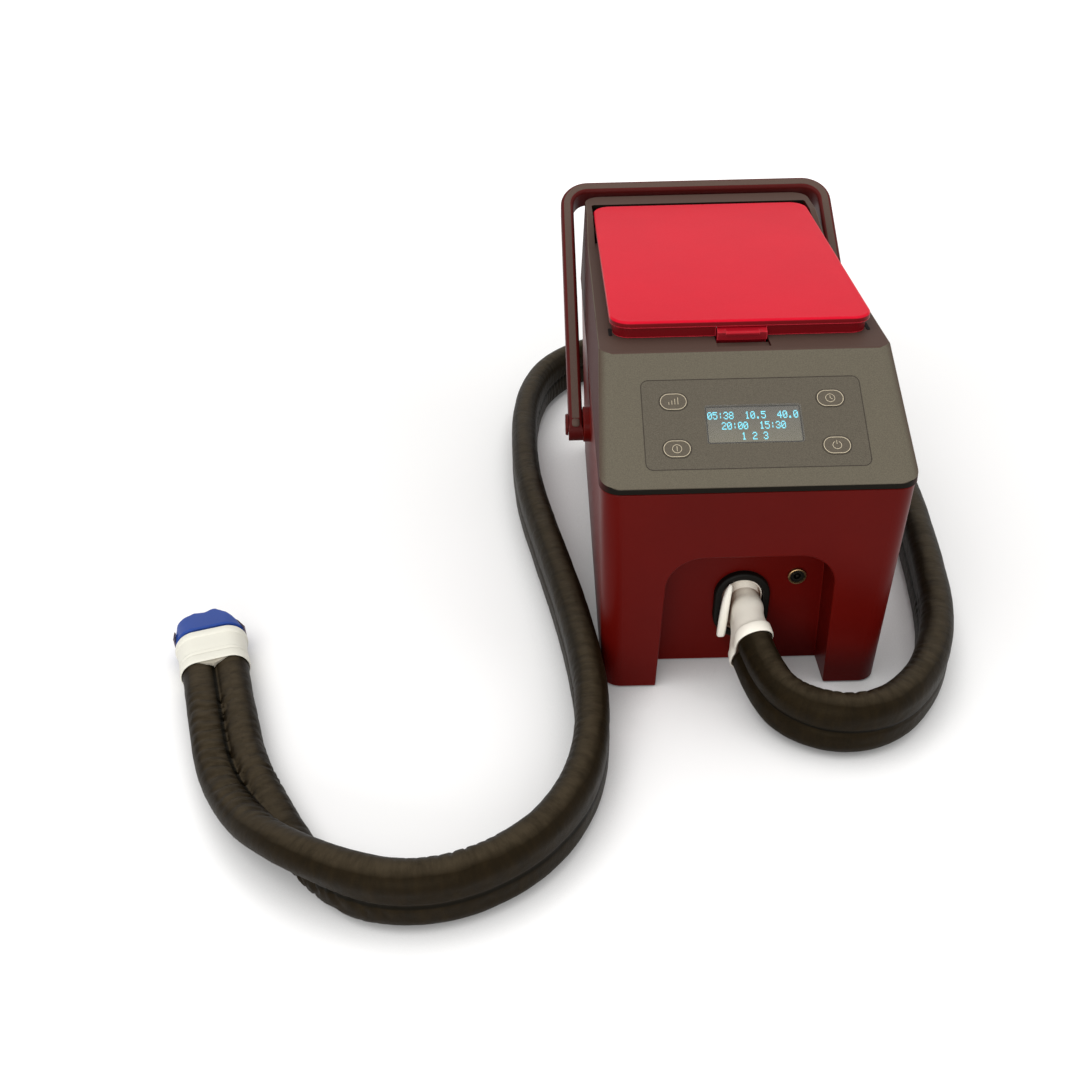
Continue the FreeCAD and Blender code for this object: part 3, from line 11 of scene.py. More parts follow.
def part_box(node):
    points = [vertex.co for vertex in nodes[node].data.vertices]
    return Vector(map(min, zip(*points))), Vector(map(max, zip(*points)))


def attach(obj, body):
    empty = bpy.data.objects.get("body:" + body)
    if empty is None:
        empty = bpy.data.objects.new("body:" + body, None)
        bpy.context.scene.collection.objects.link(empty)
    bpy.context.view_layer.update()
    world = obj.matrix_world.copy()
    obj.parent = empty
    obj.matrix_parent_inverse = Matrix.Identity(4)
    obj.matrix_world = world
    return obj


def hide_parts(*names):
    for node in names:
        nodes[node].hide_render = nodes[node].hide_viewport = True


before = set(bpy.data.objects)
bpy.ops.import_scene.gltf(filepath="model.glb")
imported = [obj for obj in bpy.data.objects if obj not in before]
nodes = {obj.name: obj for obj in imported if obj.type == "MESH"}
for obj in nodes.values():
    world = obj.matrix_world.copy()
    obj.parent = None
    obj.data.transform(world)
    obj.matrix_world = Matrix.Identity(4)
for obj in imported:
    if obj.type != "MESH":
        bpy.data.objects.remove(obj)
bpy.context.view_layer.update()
scene = bpy.context.scene
UP = Vector((0, 0, 1))


# -------- camera, light and floor
CAMERA_PLACE = (-0.1396, -0.8041, 0.5591)
CAMERA_TURNS = (-0.17, 34.89, -1.47)  # degrees: to the right, down, and round the view's axis
LENS = 37.79  # mm, over a sensor 36 mm wide
SENSOR = 36.0
FLOOR_HALF = 6.0  # metres
LAMPS = (  # name, place, target and size in metres, and power in watts
    ("key_light", (-0.9, -0.7, 1.7), (0, 0, 0.1), (1.6, 1.2), 11.0),
    ("fill_light", (1.3, -0.6, 1.3), (0, 0, 0.15), (1.2, 1.2), 5.0),
    ("top_light", (0.1, 0.5, 1.9), (0, 0, 0.1), (1.4, 1.4), 8.0),
    ("front_light", (-0.35, -1.5, 0.45), (0, -0.2, 0.05), (0.9, 0.5), 8.0))


def make_camera():
    yaw, pitch, roll = (math.radians(a) for a in CAMERA_TURNS)
    ahead = Vector((math.sin(yaw) * math.cos(pitch), math.cos(yaw) * math.cos(pitch), -math.sin(pitch)))
    level = Vector((math.cos(yaw), -math.sin(yaw), 0))
    above = level.cross(ahead)
    right = level * math.cos(roll) + above * math.sin(roll)
    up = -level * math.sin(roll) + above * math.cos(roll)
    data = bpy.data.cameras.new("camera")
    data.sensor_fit = "HORIZONTAL"
    data.sensor_width = SENSOR
    data.lens = LENS
    data.clip_start = 0.01
    camera = bpy.data.objects.new("camera", data)
    turn = Matrix((right, up, -ahead)).transposed().to_4x4()
    camera.matrix_world = Matrix.Translation(CAMERA_PLACE) @ turn
    scene.collection.objects.link(camera)
    scene.camera = camera


def area_light(name, place, target, size, power):
    data = bpy.data.lights.new(name, "AREA")
    data.shape = "RECTANGLE"
    data.size, data.size_y = size
    data.energy = power
    lamp = bpy.data.objects.new(name, data)
    lamp.location = place
    lamp.rotation_euler = (Vector(target) - Vector(place)).to_track_quat("-Z", "Y").to_euler()
    scene.collection.objects.link(lamp)


def feed(tree, socket, value):
    """Gives a socket a plain value, or the output of another node."""
    if hasattr(value, "is_output"):
        tree.links.new(value, socket)
    else:
        socket.default_value = value


def add_node(tree, kind, **values):
    """A shader node of a kind, such as "Bump", whose settings and sockets take the given values."""
    made = tree.nodes.new("ShaderNode" + kind)
    for key, value in values.items():
        name = key.replace("_", " ")
        if name in made.inputs:
            feed(tree, made.inputs[name], value)
        else:
            setattr(made, key, value)
    return made


def seen_rays(tree):
    """1 for what the camera, a reflection or clear plastic looks at, and 0 for light on surfaces."""
    path = add_node(tree, "LightPath")
    total = path.outputs["Is Camera Ray"]
    for name in ("Is Glossy Ray", "Is Transmission Ray"):
        either = add_node(tree, "Math", operation="MAXIMUM")
        tree.links.new(total, either.inputs[0])
        tree.links.new(path.outputs[name], either.inputs[1])
        total = either.outputs[0]
    return total


def show_mixed(tree, lighting, seen, out_kind):
    """One shader for light on surfaces and another for what is looked at, linked to the output."""
    mix = add_node(tree, "MixShader")
    out = add_node(tree, out_kind)
    tree.links.new(seen_rays(tree), mix.inputs[0])
    tree.links.new(lighting.outputs[0], mix.inputs[1])
    tree.links.new(seen.outputs[0], mix.inputs[2])
    tree.links.new(mix.outputs[0], out.inputs["Surface"])


def make_world():
    """White where it is looked at, and a soft warm light on the rest."""
    world = bpy.data.worlds.new("studio")
    world.use_nodes = True
    tree = world.node_tree
    tree.nodes.clear()
    seen = add_node(tree, "Background", Color=(1, 1, 1, 1), Strength=1.0)
    soft = add_node(tree, "Background", Color=(1.0, 0.985, 0.965, 1), Strength=0.60)
    show_mixed(tree, soft, seen, "OutputWorld")
    scene.world = world


def floor_material():
    """White with a glow of its own further out, and a little darker right beside what stands on it: painted
    contact shade.
    """
    material = bpy.data.materials.new("floor_white")
    material.use_nodes = True
    tree = material.node_tree
    tree.nodes.clear()
    # painted contact shade: the floor darkens where ambient occlusion finds something close
    near = add_node(tree, "AmbientOcclusion", samples=8, Distance=0.05)
    painted_contact_shade = add_node(tree, "MapRange", Value=near.outputs["AO"],
                       From_Min=0.28, From_Max=0.74, To_Min=0.52, To_Max=0.95)
    white = add_node(tree, "BsdfDiffuse", Color=painted_contact_shade.outputs["Result"])
    place = add_node(tree, "NewGeometry")
    reach = add_node(tree, "VectorMath", operation="LENGTH", Vector=place.outputs["Position"])
    rise = add_node(tree, "MapRange", Value=reach.outputs["Value"],
                    From_Min=0.45, From_Max=1.5, To_Min=0.07, To_Max=0.70)
    glow = add_node(tree, "Emission", Strength=rise.outputs["Result"])
    both = add_node(tree, "AddShader")
    tree.links.new(white.outputs[0], both.inputs[0])
    tree.links.new(glow.outputs[0], both.inputs[1])
    soft = add_node(tree, "BsdfDiffuse", Color=(0.60, 0.59, 0.58, 1))
    show_mixed(tree, soft, both, "OutputMaterial")
    return material


def make_floor():
    mesh = bpy.data.meshes.new("floor")
    corners = [(x * FLOOR_HALF, y * FLOOR_HALF, 0) for x, y in ((-1, -1), (1, -1), (1, 1), (-1, 1))]
    mesh.from_pydata(corners, [], [(0, 1, 2, 3)])
    mesh.materials.append(floor_material())
    floor = bpy.data.objects.new("floor", mesh)
    scene.collection.objects.link(floor)


make_camera()
make_world()
make_floor()
for lamp in LAMPS:
    area_light(*lamp)
scene.view_settings.view_transform = "Standard"


# -------- materials
GRAIN_DEPTH = 0.00004  # metres, of the finest relief on moulded plastic
STREAK_DEPTH = 0.00003
FLECK_DEPTH = 0.00005
PANE_DEPTH = 0.00002
CREASE_DEPTH = 0.0010  # of the creases in the sleeve's cloth
EDGE_HIGHLIGHT_RADIUS = 0.0012  # how wide the painted highlights along plastic edges are
HOLLOW_REACH = 0.013  # how far round a point is looked at for the painted shade in hollows


def linear(red, green, blue):
    """An sRGB colour in 0 to 255 as a linear one."""
    def one(c):
        c /= 255
        return c / 12.92 if c <= 0.04045 else ((c + 0.055) / 1.055) ** 2.4
    return (one(red), one(green), one(blue), 1.0)


def shaded(base, factor):
    """A linear colour made darker or lighter by a factor."""
    return tuple(min(1, c * factor) for c in base[:3]) + (1,)


class Shader:
    """A principled material with small helpers for its nodes."""

    def __init__(self, name, roughness, metallic=0.0, **constants):
        self.material = bpy.data.materials.new(name)
        self.material.use_nodes = True
        self.tree = self.material.node_tree
        self.shader = self.tree.nodes["Principled BSDF"]
        constants.update(Roughness=roughness, Metallic=metallic)
        for key, value in constants.items():
            self.shader.inputs[key.replace("_", " ")].default_value = value
        self.coords = self.node("TexCoord")

    def node(self, kind, **values):
        return add_node(self.tree, kind, **values)

    def link(self, a, b):
        self.tree.links.new(a, b)

    def axes(self, kind):
        """The X, Y and Z of a kind of coordinate."""
        return self.node("SeparateXYZ", Vector=self.coords.outputs[kind]).outputs

    def place(self, scale, kind):
        """A kind of coordinate, stretched."""
        return self.node("Mapping", Vector=self.coords.outputs[kind], Scale=scale).outputs["Vector"]

    def noise(self, scale, detail, roughness=0.55, stretch=(1, 1, 1), kind="Object"):
        return self.node("TexNoise", Vector=self.place(stretch, kind), Scale=scale,
                         Detail=detail, Roughness=roughness).outputs["Fac"]

    def ramp(self, value, stops):
        made = self.node("ValToRGB", Fac=value)
        while len(made.color_ramp.elements) < len(stops):
            made.color_ramp.elements.new(0.5)
        for element, (place, colour) in zip(made.color_ramp.elements, stops):
            element.position = place
            element.color = colour
        return made.outputs["Color"]

    def mix(self, factor, a, b, blend="MIX"):
        made = self.node("Mix", data_type="RGBA", blend_type=blend)
        for socket, value in ((made.inputs[0], factor), (made.inputs[6], a), (made.inputs[7], b)):
            feed(self.tree, socket, value)
        return made.outputs[2]

    def math(self, operation, *values):
        made = self.node("Math", operation=operation)
        for socket, value in zip(made.inputs, values):
            feed(self.tree, socket, value)
        return made.outputs[0]

    def ranged(self, value, low, high, to_low=0.0, to_high=1.0):
        """to_low where the value is at low, and to_high where it is at high."""
        return self.node("MapRange", Value=value, From_Min=low, From_Max=high,
                         To_Min=to_low, To_Max=to_high).outputs["Result"]

    def spread(self, value, low, high):
        return self.ranged(value, 0.0, 1.0, low, high)

    def painted_edge_highlight(self):
        """How sharply the surface turns, from 0 on flats to 1 on edges, which get a painted highlight."""
        bevel = self.node("Bevel", samples=6, Radius=EDGE_HIGHLIGHT_RADIUS)
        geometry = self.node("NewGeometry")
        dot = self.node("VectorMath", operation="DOT_PRODUCT")
        self.link(bevel.outputs[0], dot.inputs[0])
        self.link(geometry.outputs["Normal"], dot.inputs[1])
        return self.ranged(dot.outputs["Value"], 1.0, 0.80)

    def colour(self, value):
        self.link(value, self.shader.inputs["Base Color"])

    def rough(self, value):
        self.link(value, self.shader.inputs["Roughness"])

    def bump(self, heights, distance):
        """Bump from (value, strength) pairs, one after the other."""
        normal = None
        for value, strength in heights:
            made = self.node("Bump", Height=value, Strength=strength, Distance=distance)
            if normal:
                self.link(normal, made.inputs["Normal"])
            normal = made.outputs["Normal"]
        self.link(normal, self.shader.inputs["Normal"])


def moulded(name, base, grain, roughness, shade=0.06, edge=None, upright_shade=None, hollow_shade=None, **constants):
    """Moulded plastic with a fine grain; it can have a painted highlight along its edges, painted shade on
    its sides that stand straight up and painted shade in its hollows.
    """
    constants.setdefault("Specular_IOR_Level", 0.14)
    made = Shader(name, roughness, **constants)
    base = linear(*base)
    clouds = made.noise(14.0, 4.0)
    tone = made.ramp(clouds, [(0.35, shaded(base, 1 - shade)), (0.65, shaded(base, 1 + shade))])
    # painted shade: a darker tone on faces that stand straight up
    if upright_shade:
        level = made.math("ABSOLUTE", made.axes("Normal")["Z"])
        tone = made.mix(made.ranged(level, 0.10, 0.45), linear(*upright_shade), tone)
    # painted highlight: a lighter tone along the edges
    if edge:
        tone = made.mix(made.painted_edge_highlight(), tone, linear(*edge))
    # painted shade: a darker tone in hollows, found by ambient occlusion
    if hollow_shade:
        open_sky = made.node("AmbientOcclusion", samples=8, Distance=HOLLOW_REACH)
        tone = made.mix(made.ranged(open_sky.outputs["AO"], 0.25, 0.78), linear(*hollow_shade), tone)
    made.colour(tone)
    fine = made.noise(grain, 2.0)
    made.rough(made.spread(fine, roughness - 0.05, roughness + 0.07))
    made.bump([(fine, 0.35), (made.noise(60.0, 2.0), 0.15)], GRAIN_DEPTH)
    return made.material


def metal(name, base, roughness=0.28):
    """Brushed or plated metal with fine streaks."""
    made = Shader(name, roughness, 1.0)
    streaks = made.noise(90.0, 5.0, 0.6, (1, 1, 60))
    made.colour(made.ramp(streaks, [(0.3, shaded(base, 0.8)), (0.7, base)]))
    made.rough(made.spread(streaks, roughness - 0.08, roughness + 0.12))
    made.bump([(streaks, 0.2)], STREAK_DEPTH)
    return made.material


def speckled_grey(name, base, fleck, roughness, flank_shade=None, lip=None, flat=None):
    """Warm grey paint with fine light and dark flecks, and painted shade with a painted red reflection on
    its sides, its front lip and its level faces.
    """
    made = Shader(name, roughness, 0.0, Specular_IOR_Level=0.07)
    base = linear(*base)
    flecks = made.noise(1500.0, 2.0, 0.8)
    dark, light = shaded(base, 1 - fleck), shaded(base, 1 + fleck)
    tone = made.ramp(flecks, [(0.36, dark), (0.50, base), (0.66, light)])
    cooler = made.mix(1.0, tone, (0.93, 0.94, 0.96, 1), "MULTIPLY")
    tone = made.mix(made.spread(made.noise(9.0, 3.0), 0.0, 0.5), tone, cooler)
    # painted shade and painted red reflection: reddish-brown sides, a near-black front lip and a darker
    # reddish level top
    if flank_shade:
        turned = made.axes("Normal")
        upright_shade = made.mix(made.ranged(turned["Y"], -0.35, -0.85), linear(*flank_shade), linear(*lip))
        tone = made.mix(made.ranged(turned["Z"], 0.89, 0.93), tone, linear(*flat))
        tone = made.mix(made.ranged(turned["Z"], 0.45, 0.82), upright_shade, tone)
    made.colour(tone)
    made.rough(made.spread(flecks, roughness - 0.06, roughness + 0.08))
    made.bump([(flecks, 0.30)], FLECK_DEPTH)
    return made.material


HOSE_WIDE = 0.047  # metres over both tubes
HOSE_THICK = 0.024
HOSE_FLAT = HOSE_WIDE - HOSE_THICK
SEAM_SHARE = HOSE_FLAT / 4 / (HOSE_FLAT + math.pi * HOSE_THICK / 2)  # of the way round the section


def sleeve_cloth(name):
    """Dark brown coated cloth: fine weave, cross creases, faint scuffs and a painted sheen on what faces up.
    U runs along the hose.
    """
    made = Shader(name, 0.48, Specular_IOR_Level=0.07, Specular_Tint=(1.0, 0.84, 0.58, 1))
    creases = made.noise(1.0, 5.0, 0.62, (170.0, 7.0, 1.0), "UV")
    long_folds = made.noise(1.0, 3.0, 0.5, (26.0, 5.0, 1.0), "UV")
    weave = made.node("TexWave", Vector=made.place((2200.0, 260.0, 1.0), "UV"),
                      wave_type="BANDS", bands_direction="DIAGONAL", Scale=1.0, Distortion=0.6)
    grain = made.noise(2400.0, 2.0, 0.7)
    tone = made.ramp(creases, [(0.30, linear(17, 12, 5)), (0.52, linear(25, 18, 8)),
                               (0.75, linear(34, 26, 13))])
    tone = made.mix(made.spread(grain, 0.0, 0.35), tone, linear(20, 16, 10))
    # painted sheen: the cloth is lighter where it faces up, broken by the creases
    lit = made.ranged(made.axes("Normal")["Z"], 0.78, 1.0)
    crown = made.math("MULTIPLY", lit, made.ranged(creases, 0.08, 0.60))
    tone = made.mix(crown, tone, linear(59, 51, 39))
    seam = made.math("MULTIPLY_ADD", made.axes("UV")["Y"], 2.0, 0.5 - 2 * SEAM_SHARE)
    seam = made.math("SUBTRACT", made.math("FRACT", seam), 0.5)
    seam_dark = made.ranged(made.math("ABSOLUTE", seam), 0.030, 0.014)
    made.colour(made.mix(seam_dark, tone, linear(5, 4, 2)))
    made.rough(made.spread(creases, 0.40, 0.54))
    threads = weave.outputs["Fac"]
    made.bump([(long_folds, 0.35), (creases, 0.40), (threads, 0.05), (grain, 0.10)], CREASE_DEPTH)
    return made.material


def display_glass(name):
    """Backlit panel that gets darker towards its upper edge."""
    made = Shader(name, 0.5, Specular_IOR_Level=0.1)
    cells = made.noise(120.0, 2.0)
    tone = made.ramp(cells, [(0.3, linear(99, 93, 68)), (0.7, linear(105, 99, 73))])
    low, high = (corner[2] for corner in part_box("lcd_module"))
    made.colour(made.mix(made.ranged(made.axes("Object")["Z"], low, high), tone, linear(40, 35, 32)))
    made.bump([(cells, 0.1)], PANE_DEPTH)
    return made.material


def clear_pane(name):
    made = Shader(name, 0.3, Alpha=0.07, Specular_IOR_Level=0.1)
    faint = made.noise(30.0, 2.0)
    made.colour(made.ramp(faint, [(0.3, (0.80, 0.79, 0.74, 1)), (0.7, (0.86, 0.85, 0.80, 1))]))
    made.rough(made.spread(faint, 0.25, 0.35))
    made.bump([(faint, 0.05)], PANE_DEPTH)
    return made.material


def glowing(name, base, strength):
    made = Shader(name, 0.5, Emission_Strength=strength)
    base = linear(*base)
    tone = made.ramp(made.noise(500.0, 1.0), [(0.3, shaded(base, 0.85)), (0.7, base)])
    made.colour(tone)
    made.link(tone, made.shader.inputs["Emission Color"])
    return made.material


# the colours given here are sRGB, 0 to 255, apart from the metals', which are linear
cloth = sleeve_cloth("sleeve_cloth")
display_back = display_glass("display_back")
pane = clear_pane("window_pane")
pixel_cyan = glowing("pixel_cyan", (96, 206, 226), 0.55)
steel = metal("plated_steel", (0.70, 0.70, 0.70, 1))
dark_pin = metal("blackened_steel", (0.05, 0.045, 0.045, 1), 0.45)
brass = metal("brass_plate", (0.42, 0.27, 0.13, 1), 0.25)
aluminium = metal("bare_aluminium", (0.82, 0.83, 0.84, 1), 0.36)
# the sides, front lip and level top of the cover get painted shade and a painted red reflection
gunmetal = speckled_grey("gunmetal", (98, 92, 79), 0.16, 0.56, flank_shade=(56, 13, 9),
                         lip=(16, 13, 8), flat=(79, 61, 54))
overlay_grey = speckled_grey("overlay_grey", (91, 85, 74), 0.20, 0.50)
key_grey = speckled_grey("key_grey", (92, 85, 74), 0.16, 0.40)
strip_grey = speckled_grey("strip_grey", (90, 73, 65), 0.12, 0.50)
# the edge tones here are painted highlights along the edges
shell_red = moulded("shell_red", (86, 9, 5), 700.0, 0.36, edge=(118, 28, 20),
                    Specular_IOR_Level=0.08)
# the darker tones for the lid's and latch's sides are painted shade
lid_red = moulded("lid_red", (206, 6, 38), 1200.0, 0.40, 0.03, edge=(216, 48, 64),
                  upright_shade=(104, 8, 15), Specular_IOR_Level=0.09)
latch_red = moulded("latch_red", (168, 18, 34), 1200.0, 0.36, 0.04, edge=(206, 54, 66),
                    upright_shade=(120, 12, 22))
handle_red = moulded("handle_red", (76, 16, 14), 800.0, 0.46, edge=(96, 32, 27),
                     Specular_IOR_Level=0.10)
ivory = moulded("ivory", (225, 223, 211), 500.0, 0.30, 0.02, Specular_IOR_Level=0.2)
# a lighter copy of ivory, painted brighter for the shade that the elbow and its lever sit in; the elbow's
# hollow tone is painted shade
elbow_ivory_painted_lighter = moulded("elbow_ivory_painted_lighter", (252, 247, 234), 500.0, 0.30, 0.01, hollow_shade=(118, 92, 76),
                      Specular_IOR_Level=0.2)
lever_ivory_painted_lighter = moulded("lever_ivory_painted_lighter", (252, 248, 236), 500.0, 0.30, 0.01, Specular_IOR_Level=0.2)
blue = moulded("release_blue", (36, 68, 146), 600.0, 0.34, 0.08, edge=(84, 114, 180))
black = moulded("black_moulding", (16, 14, 11), 800.0, 0.48, 0.1, edge=(42, 39, 34),
                Specular_IOR_Level=0.10)
rubber = moulded("soft_rubber", (28, 28, 28), 400.0, 0.75, 0.1)
board_green = moulded("board_green", (24, 92, 52), 300.0, 0.42, 0.12)
ceramic = moulded("white_ceramic", (240, 240, 236), 900.0, 0.55, 0.02)
milky = moulded("milky_tank", (222, 224, 222), 200.0, 0.40, 0.02)
silicone = moulded("pale_silicone", (204, 204, 198), 300.0, 0.45, 0.03)
dark_hollow = moulded("dark_hollow", (20, 16, 15), 500.0, 0.8, 0.1)
pale_print = moulded("pale_print", (196, 184, 160), 900.0, 0.55, 0.04)
web_grey = moulded("web_grey", (176, 170, 156), 500.0, 0.5, 0.05)
tab_clear = moulded("tab_clear", (150, 140, 168), 500.0, 0.25, 0.12, Transmission_Weight=0.35)
tab_edge = moulded("tab_edge", (96, 70, 56), 500.0, 0.4, 0.08)
dark_print = moulded("dark_print", (46, 40, 36), 900.0, 0.5, 0.05)

FINISHES = (
    (shell_red, "housing"), (gunmetal, "top_cover"), (overlay_grey, "membrane_overlay"),
    (key_grey, "key_zone key_start key_timer key_power"), (pane, "lcd_window"), (display_back, "lcd_module"),
    (lid_red, "lid"), (latch_red, "lid_latch"), (handle_red, "handle handle_pin_left handle_pin_right"),
    (strip_grey, "handle_strip"), (black, "base_plate rear_grille key_switches port_ring port_socket"),
    (black, "power_jack fan_frame fan_rotor pump_body"), (blue, "coupler_release"), (rubber, "rubber_feet"),
    (ivory, "hose_elbow elbow_latch coupler_clamp coupler_collar pump_impeller"), (brass, "jack_nut"),
    (steel, "base_screws latch_pin fan_screws"), (dark_pin, "lid_hinge_pins"), (milky, "water_tank"),
    (aluminium, "heat_sink cold_plate"), (ceramic, "peltier_modules"), (board_green, "key_board main_board"),
    (silicone, "lid_gasket supply_tube return_tube tank_tube"))


def finish_nodes():
    for material, names in FINISHES:
        for name in names.split():
            for slot in nodes[name].material_slots:
                slot.material = material


finish_nodes()


# -------- mesh helpers
def add(mesh, material, body, slot_name, *replaced):
    """A new piece that rides on a body, and takes the place of the nodes that it replaces."""
    made = bpy.data.objects.new(mesh.name, mesh)
    scene.collection.objects.link(made)
    mesh.materials.append(material)
    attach(made, body)
    if replaced:
        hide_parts(*replaced)
    return made


def smooth(mesh, angle):
    for face in mesh.polygons:
        face.use_smooth = True
    mesh.set_sharp_from_angle(angle=math.radians(angle))


def band_faces(rings, count, closed=False):
    """Faces of a tube through rings of as many points each, capped at both ends unless it is closed."""
    faces = []
    for i in range(rings if closed else rings - 1):
        j = (i + 1) % rings
        for k in range(count):
            m = (k + 1) % count
            faces.append((i * count + k, i * count + m, j * count + m, j * count + k))
    if not closed:
        faces.append(tuple(reversed(range(count))))
        faces.append(tuple(range((rings - 1) * count, rings * count)))
    return faces


def tube_of(rings, closed=False):
    """Vertices and faces of a tube through rings of points."""
    return [p for ring in rings for p in ring], band_faces(len(rings), len(rings[0]), closed)


def mesh_of(name, parts, sharp=None):
    """One mesh from (vertices, faces) pairs, its faces outward; smooth up to an angle in degrees."""
    verts, faces = [], []
    for some, polygons in parts:
        faces += [tuple(i + len(verts) for i in polygon) for polygon in polygons]
        verts += [tuple(v) for v in some]
    mesh = bpy.data.meshes.new(name)
    mesh.from_pydata(verts, [], faces)
    mesh.update()
    shell = bmesh.new()
    shell.from_mesh(mesh)
    bmesh.ops.recalc_face_normals(shell, faces=shell.faces)
    shell.to_mesh(mesh)
    shell.free()
    if sharp:
        smooth(mesh, sharp)
    return mesh


def evaluated(holder):
    """The mesh of an object with its curve or modifiers applied; the object goes."""
    scene.collection.objects.link(holder)
    bpy.context.view_layer.update()
    mesh = bpy.data.meshes.new_from_object(holder.evaluated_get(bpy.context.evaluated_depsgraph_get()))
    bpy.data.objects.remove(holder)
    return mesh


def bar_outline(thick, wide, count):
    """Outline of a bar with round ends: (across it, along it), with its points evenly far apart."""
    half = thick / 2
    run = wide - thick
    bend = math.pi * half
    made = []
    for n in range(count):
        t = 2 * (run + bend) * (n + 0.5) / count
        if t < run:
            made.append((half, t - run / 2))
        elif t < run + bend:
            made.append((half * math.cos((t - run) / half), run / 2 + half * math.sin((t - run) / half)))
        elif t < 2 * run + bend:
            made.append((-half, run / 2 - (t - run - bend)))
        else:
            a = (t - 2 * run - bend) / half
            made.append((-half * math.cos(a), -run / 2 - half * math.sin(a)))
    return made


# -------- hose
LAID = 0.0236  # metres: the hose's middle where it stands on its edge on the floor
HOSE_ROUTE = [  # from the elbow's mouth to the coupler
    (0.0056, -0.1952, 0.0360), (0.0100, -0.2157, 0.0290), (0.0220, -0.2412, LAID), (0.0520, -0.2592, LAID),
    (0.0880, -0.2532, LAID), (0.1160, -0.2272, LAID), (0.1360, -0.1932, LAID), (0.1500, -0.1512, LAID),
    (0.1580, -0.1012, LAID), (0.1650, -0.0452, LAID), (0.1710, 0.0178, LAID), (0.1700, 0.0868, LAID),
    (0.1560, 0.1628, LAID), (0.1170, 0.2348, LAID), (0.0520, 0.2868, LAID), (-0.0260, 0.3148, LAID),
    (-0.0920, 0.3028, LAID), (-0.1360, 0.2528, LAID), (-0.1530, 0.1848, LAID), (-0.1550, 0.1088, LAID),
    (-0.1510, 0.0348, LAID), (-0.1380, -0.0392, LAID), (-0.1240, -0.1112, LAID), (-0.1130, -0.1792, LAID),
    (-0.1075, -0.2452, LAID), (-0.1160, -0.3092, LAID), (-0.1460, -0.3572, LAID), (-0.1920, -0.3842, LAID),
    (-0.2400, -0.3867, LAID), (-0.2840, -0.3627, 0.0224), (-0.3190, -0.3242, 0.0176),
    (-0.3470, -0.2782, 0.0134), (-0.3635, -0.2292, 0.0156), (-0.3790, -0.1812, 0.0156)]
HOSE_STEP = 0.0015  # between the sleeve's rings
HOSE_SIDES = 72  # points round each ring
AHEAD_REACH = 3  # steps each way over which the hose's direction is taken
BEND_REACH = 8  # and its bend
TAIL_FROM = 1.655  # along the hose, where it starts to turn onto its flat side
TAIL_TURN = 0.155  # over this length
LOOSE_FROM = 1.62  # where the sleeve starts to fit loosely
LOOSE_OVER = 0.11
ROLLS_FROM = 1.70
ROLLS_OVER = 0.06
SNUG_FROM = 0.018  # before the hose's end, where the coupler holds the sleeve tight
SNUG_OVER = 0.030
END_OVER = 0.012  # no fold within this length of either end
GRIP_FROM = 0.02  # from the elbow, where its mouth stops pressing the tubes together
GRIP_OVER = 0.12
GROOVE_DEPTH = (0.0015, 0.0038, 0.0024)  # everywhere, and added where loose and near the elbow
GROOVE_REACH = (0.0011, 0.0027, 0.0022)
FOLD_DEPTH = 0.0019
PUCKER_DEPTH = 0.0024
CREASE_PRESS = 0.0011  # of the short creases in the bends
WAVE_DEPTH = 0.00045  # of the faint waves all over
RIPPLE_DEPTH = 0.0002
SLACK = 0.0005  # how far the sleeve lies inside its full section
FLOOR_GAP = 0.0002
TUBE_MIDDLE = 0.0115  # from the seam to the crown of either tube
TUCK_MIDDLE = 0.006  # from the seam to the middle of the tucks, and of the puckers beside it
PUCKER_MIDDLE = 0.0035
TUCK_STEP = 0.0128  # along the hose, from one fold of a kind to the next
ROLL_STEP = 0.0094
CREASE_STEP = 0.0074
PUCKER_STEP = 0.0064


def read_line(points):
    """Points along a smooth line that the given points steer."""
    curve = bpy.data.curves.new("line", "CURVE")
    curve.dimensions = "3D"
    curve.resolution_u = 24
    spline = curve.splines.new("NURBS")
    spline.points.add(len(points) - 1)
    for target, point in zip(spline.points, points):
        target.co = (*point, 1.0)
    spline.order_u = 3
    spline.use_endpoint_u = True
    mesh = evaluated(bpy.data.objects.new("line", curve))
    found = [v.co.copy() for v in mesh.vertices]
    bpy.data.meshes.remove(mesh)
    return found


def even(points, step):
    """The same line with its points a fixed step apart."""
    lengths = [0.0]
    for a, b in zip(points, points[1:]):
        lengths.append(lengths[-1] + (b - a).length)
    count = max(2, round(lengths[-1] / step))
    made, i = [], 0
    for n in range(count + 1):
        want = lengths[-1] * n / count
        while i < len(points) - 2 and lengths[i + 1] < want:
            i += 1
        share = (want - lengths[i]) / max(1e-9, lengths[i + 1] - lengths[i])
        made.append(points[i].lerp(points[i + 1], share))
    return made, lengths[-1]


def ease(share):
    share = min(1.0, max(0.0, share))
    return share * share * (3 - 2 * share)


def furrow(value, sharp):
    """A narrow valley once in each unit of value: 0 between, 1 at its bottom."""
    return (0.5 + 0.5 * math.cos(math.tau * value)) ** sharp


def around(line, i, reach):
    """The points that lie some steps before and after point i of a line, or its ends."""
    return line[max(0, i - reach)], line[min(len(line) - 1, i + reach)]


def hose_frames(line):
    """For each point: place, the way across the tubes, the way along both, and how far along the hose."""
    made = []
    travelled = 0.0
    for i, place in enumerate(line):
        before, after = around(line, i, AHEAD_REACH)
        ahead = (after - before).normalized()
        if i:
            travelled += (place - line[i - 1]).length
        across = ahead.cross(UP).normalized()
        up = across.cross(ahead).normalized()
        turn = -math.pi / 2 * ease((travelled - TAIL_FROM) / TAIL_TURN)
        along = up * math.cos(turn) + across * math.sin(turn)
        thin = across * math.cos(turn) - up * math.sin(turn)
        made.append((place, thin, along, travelled))
    return made


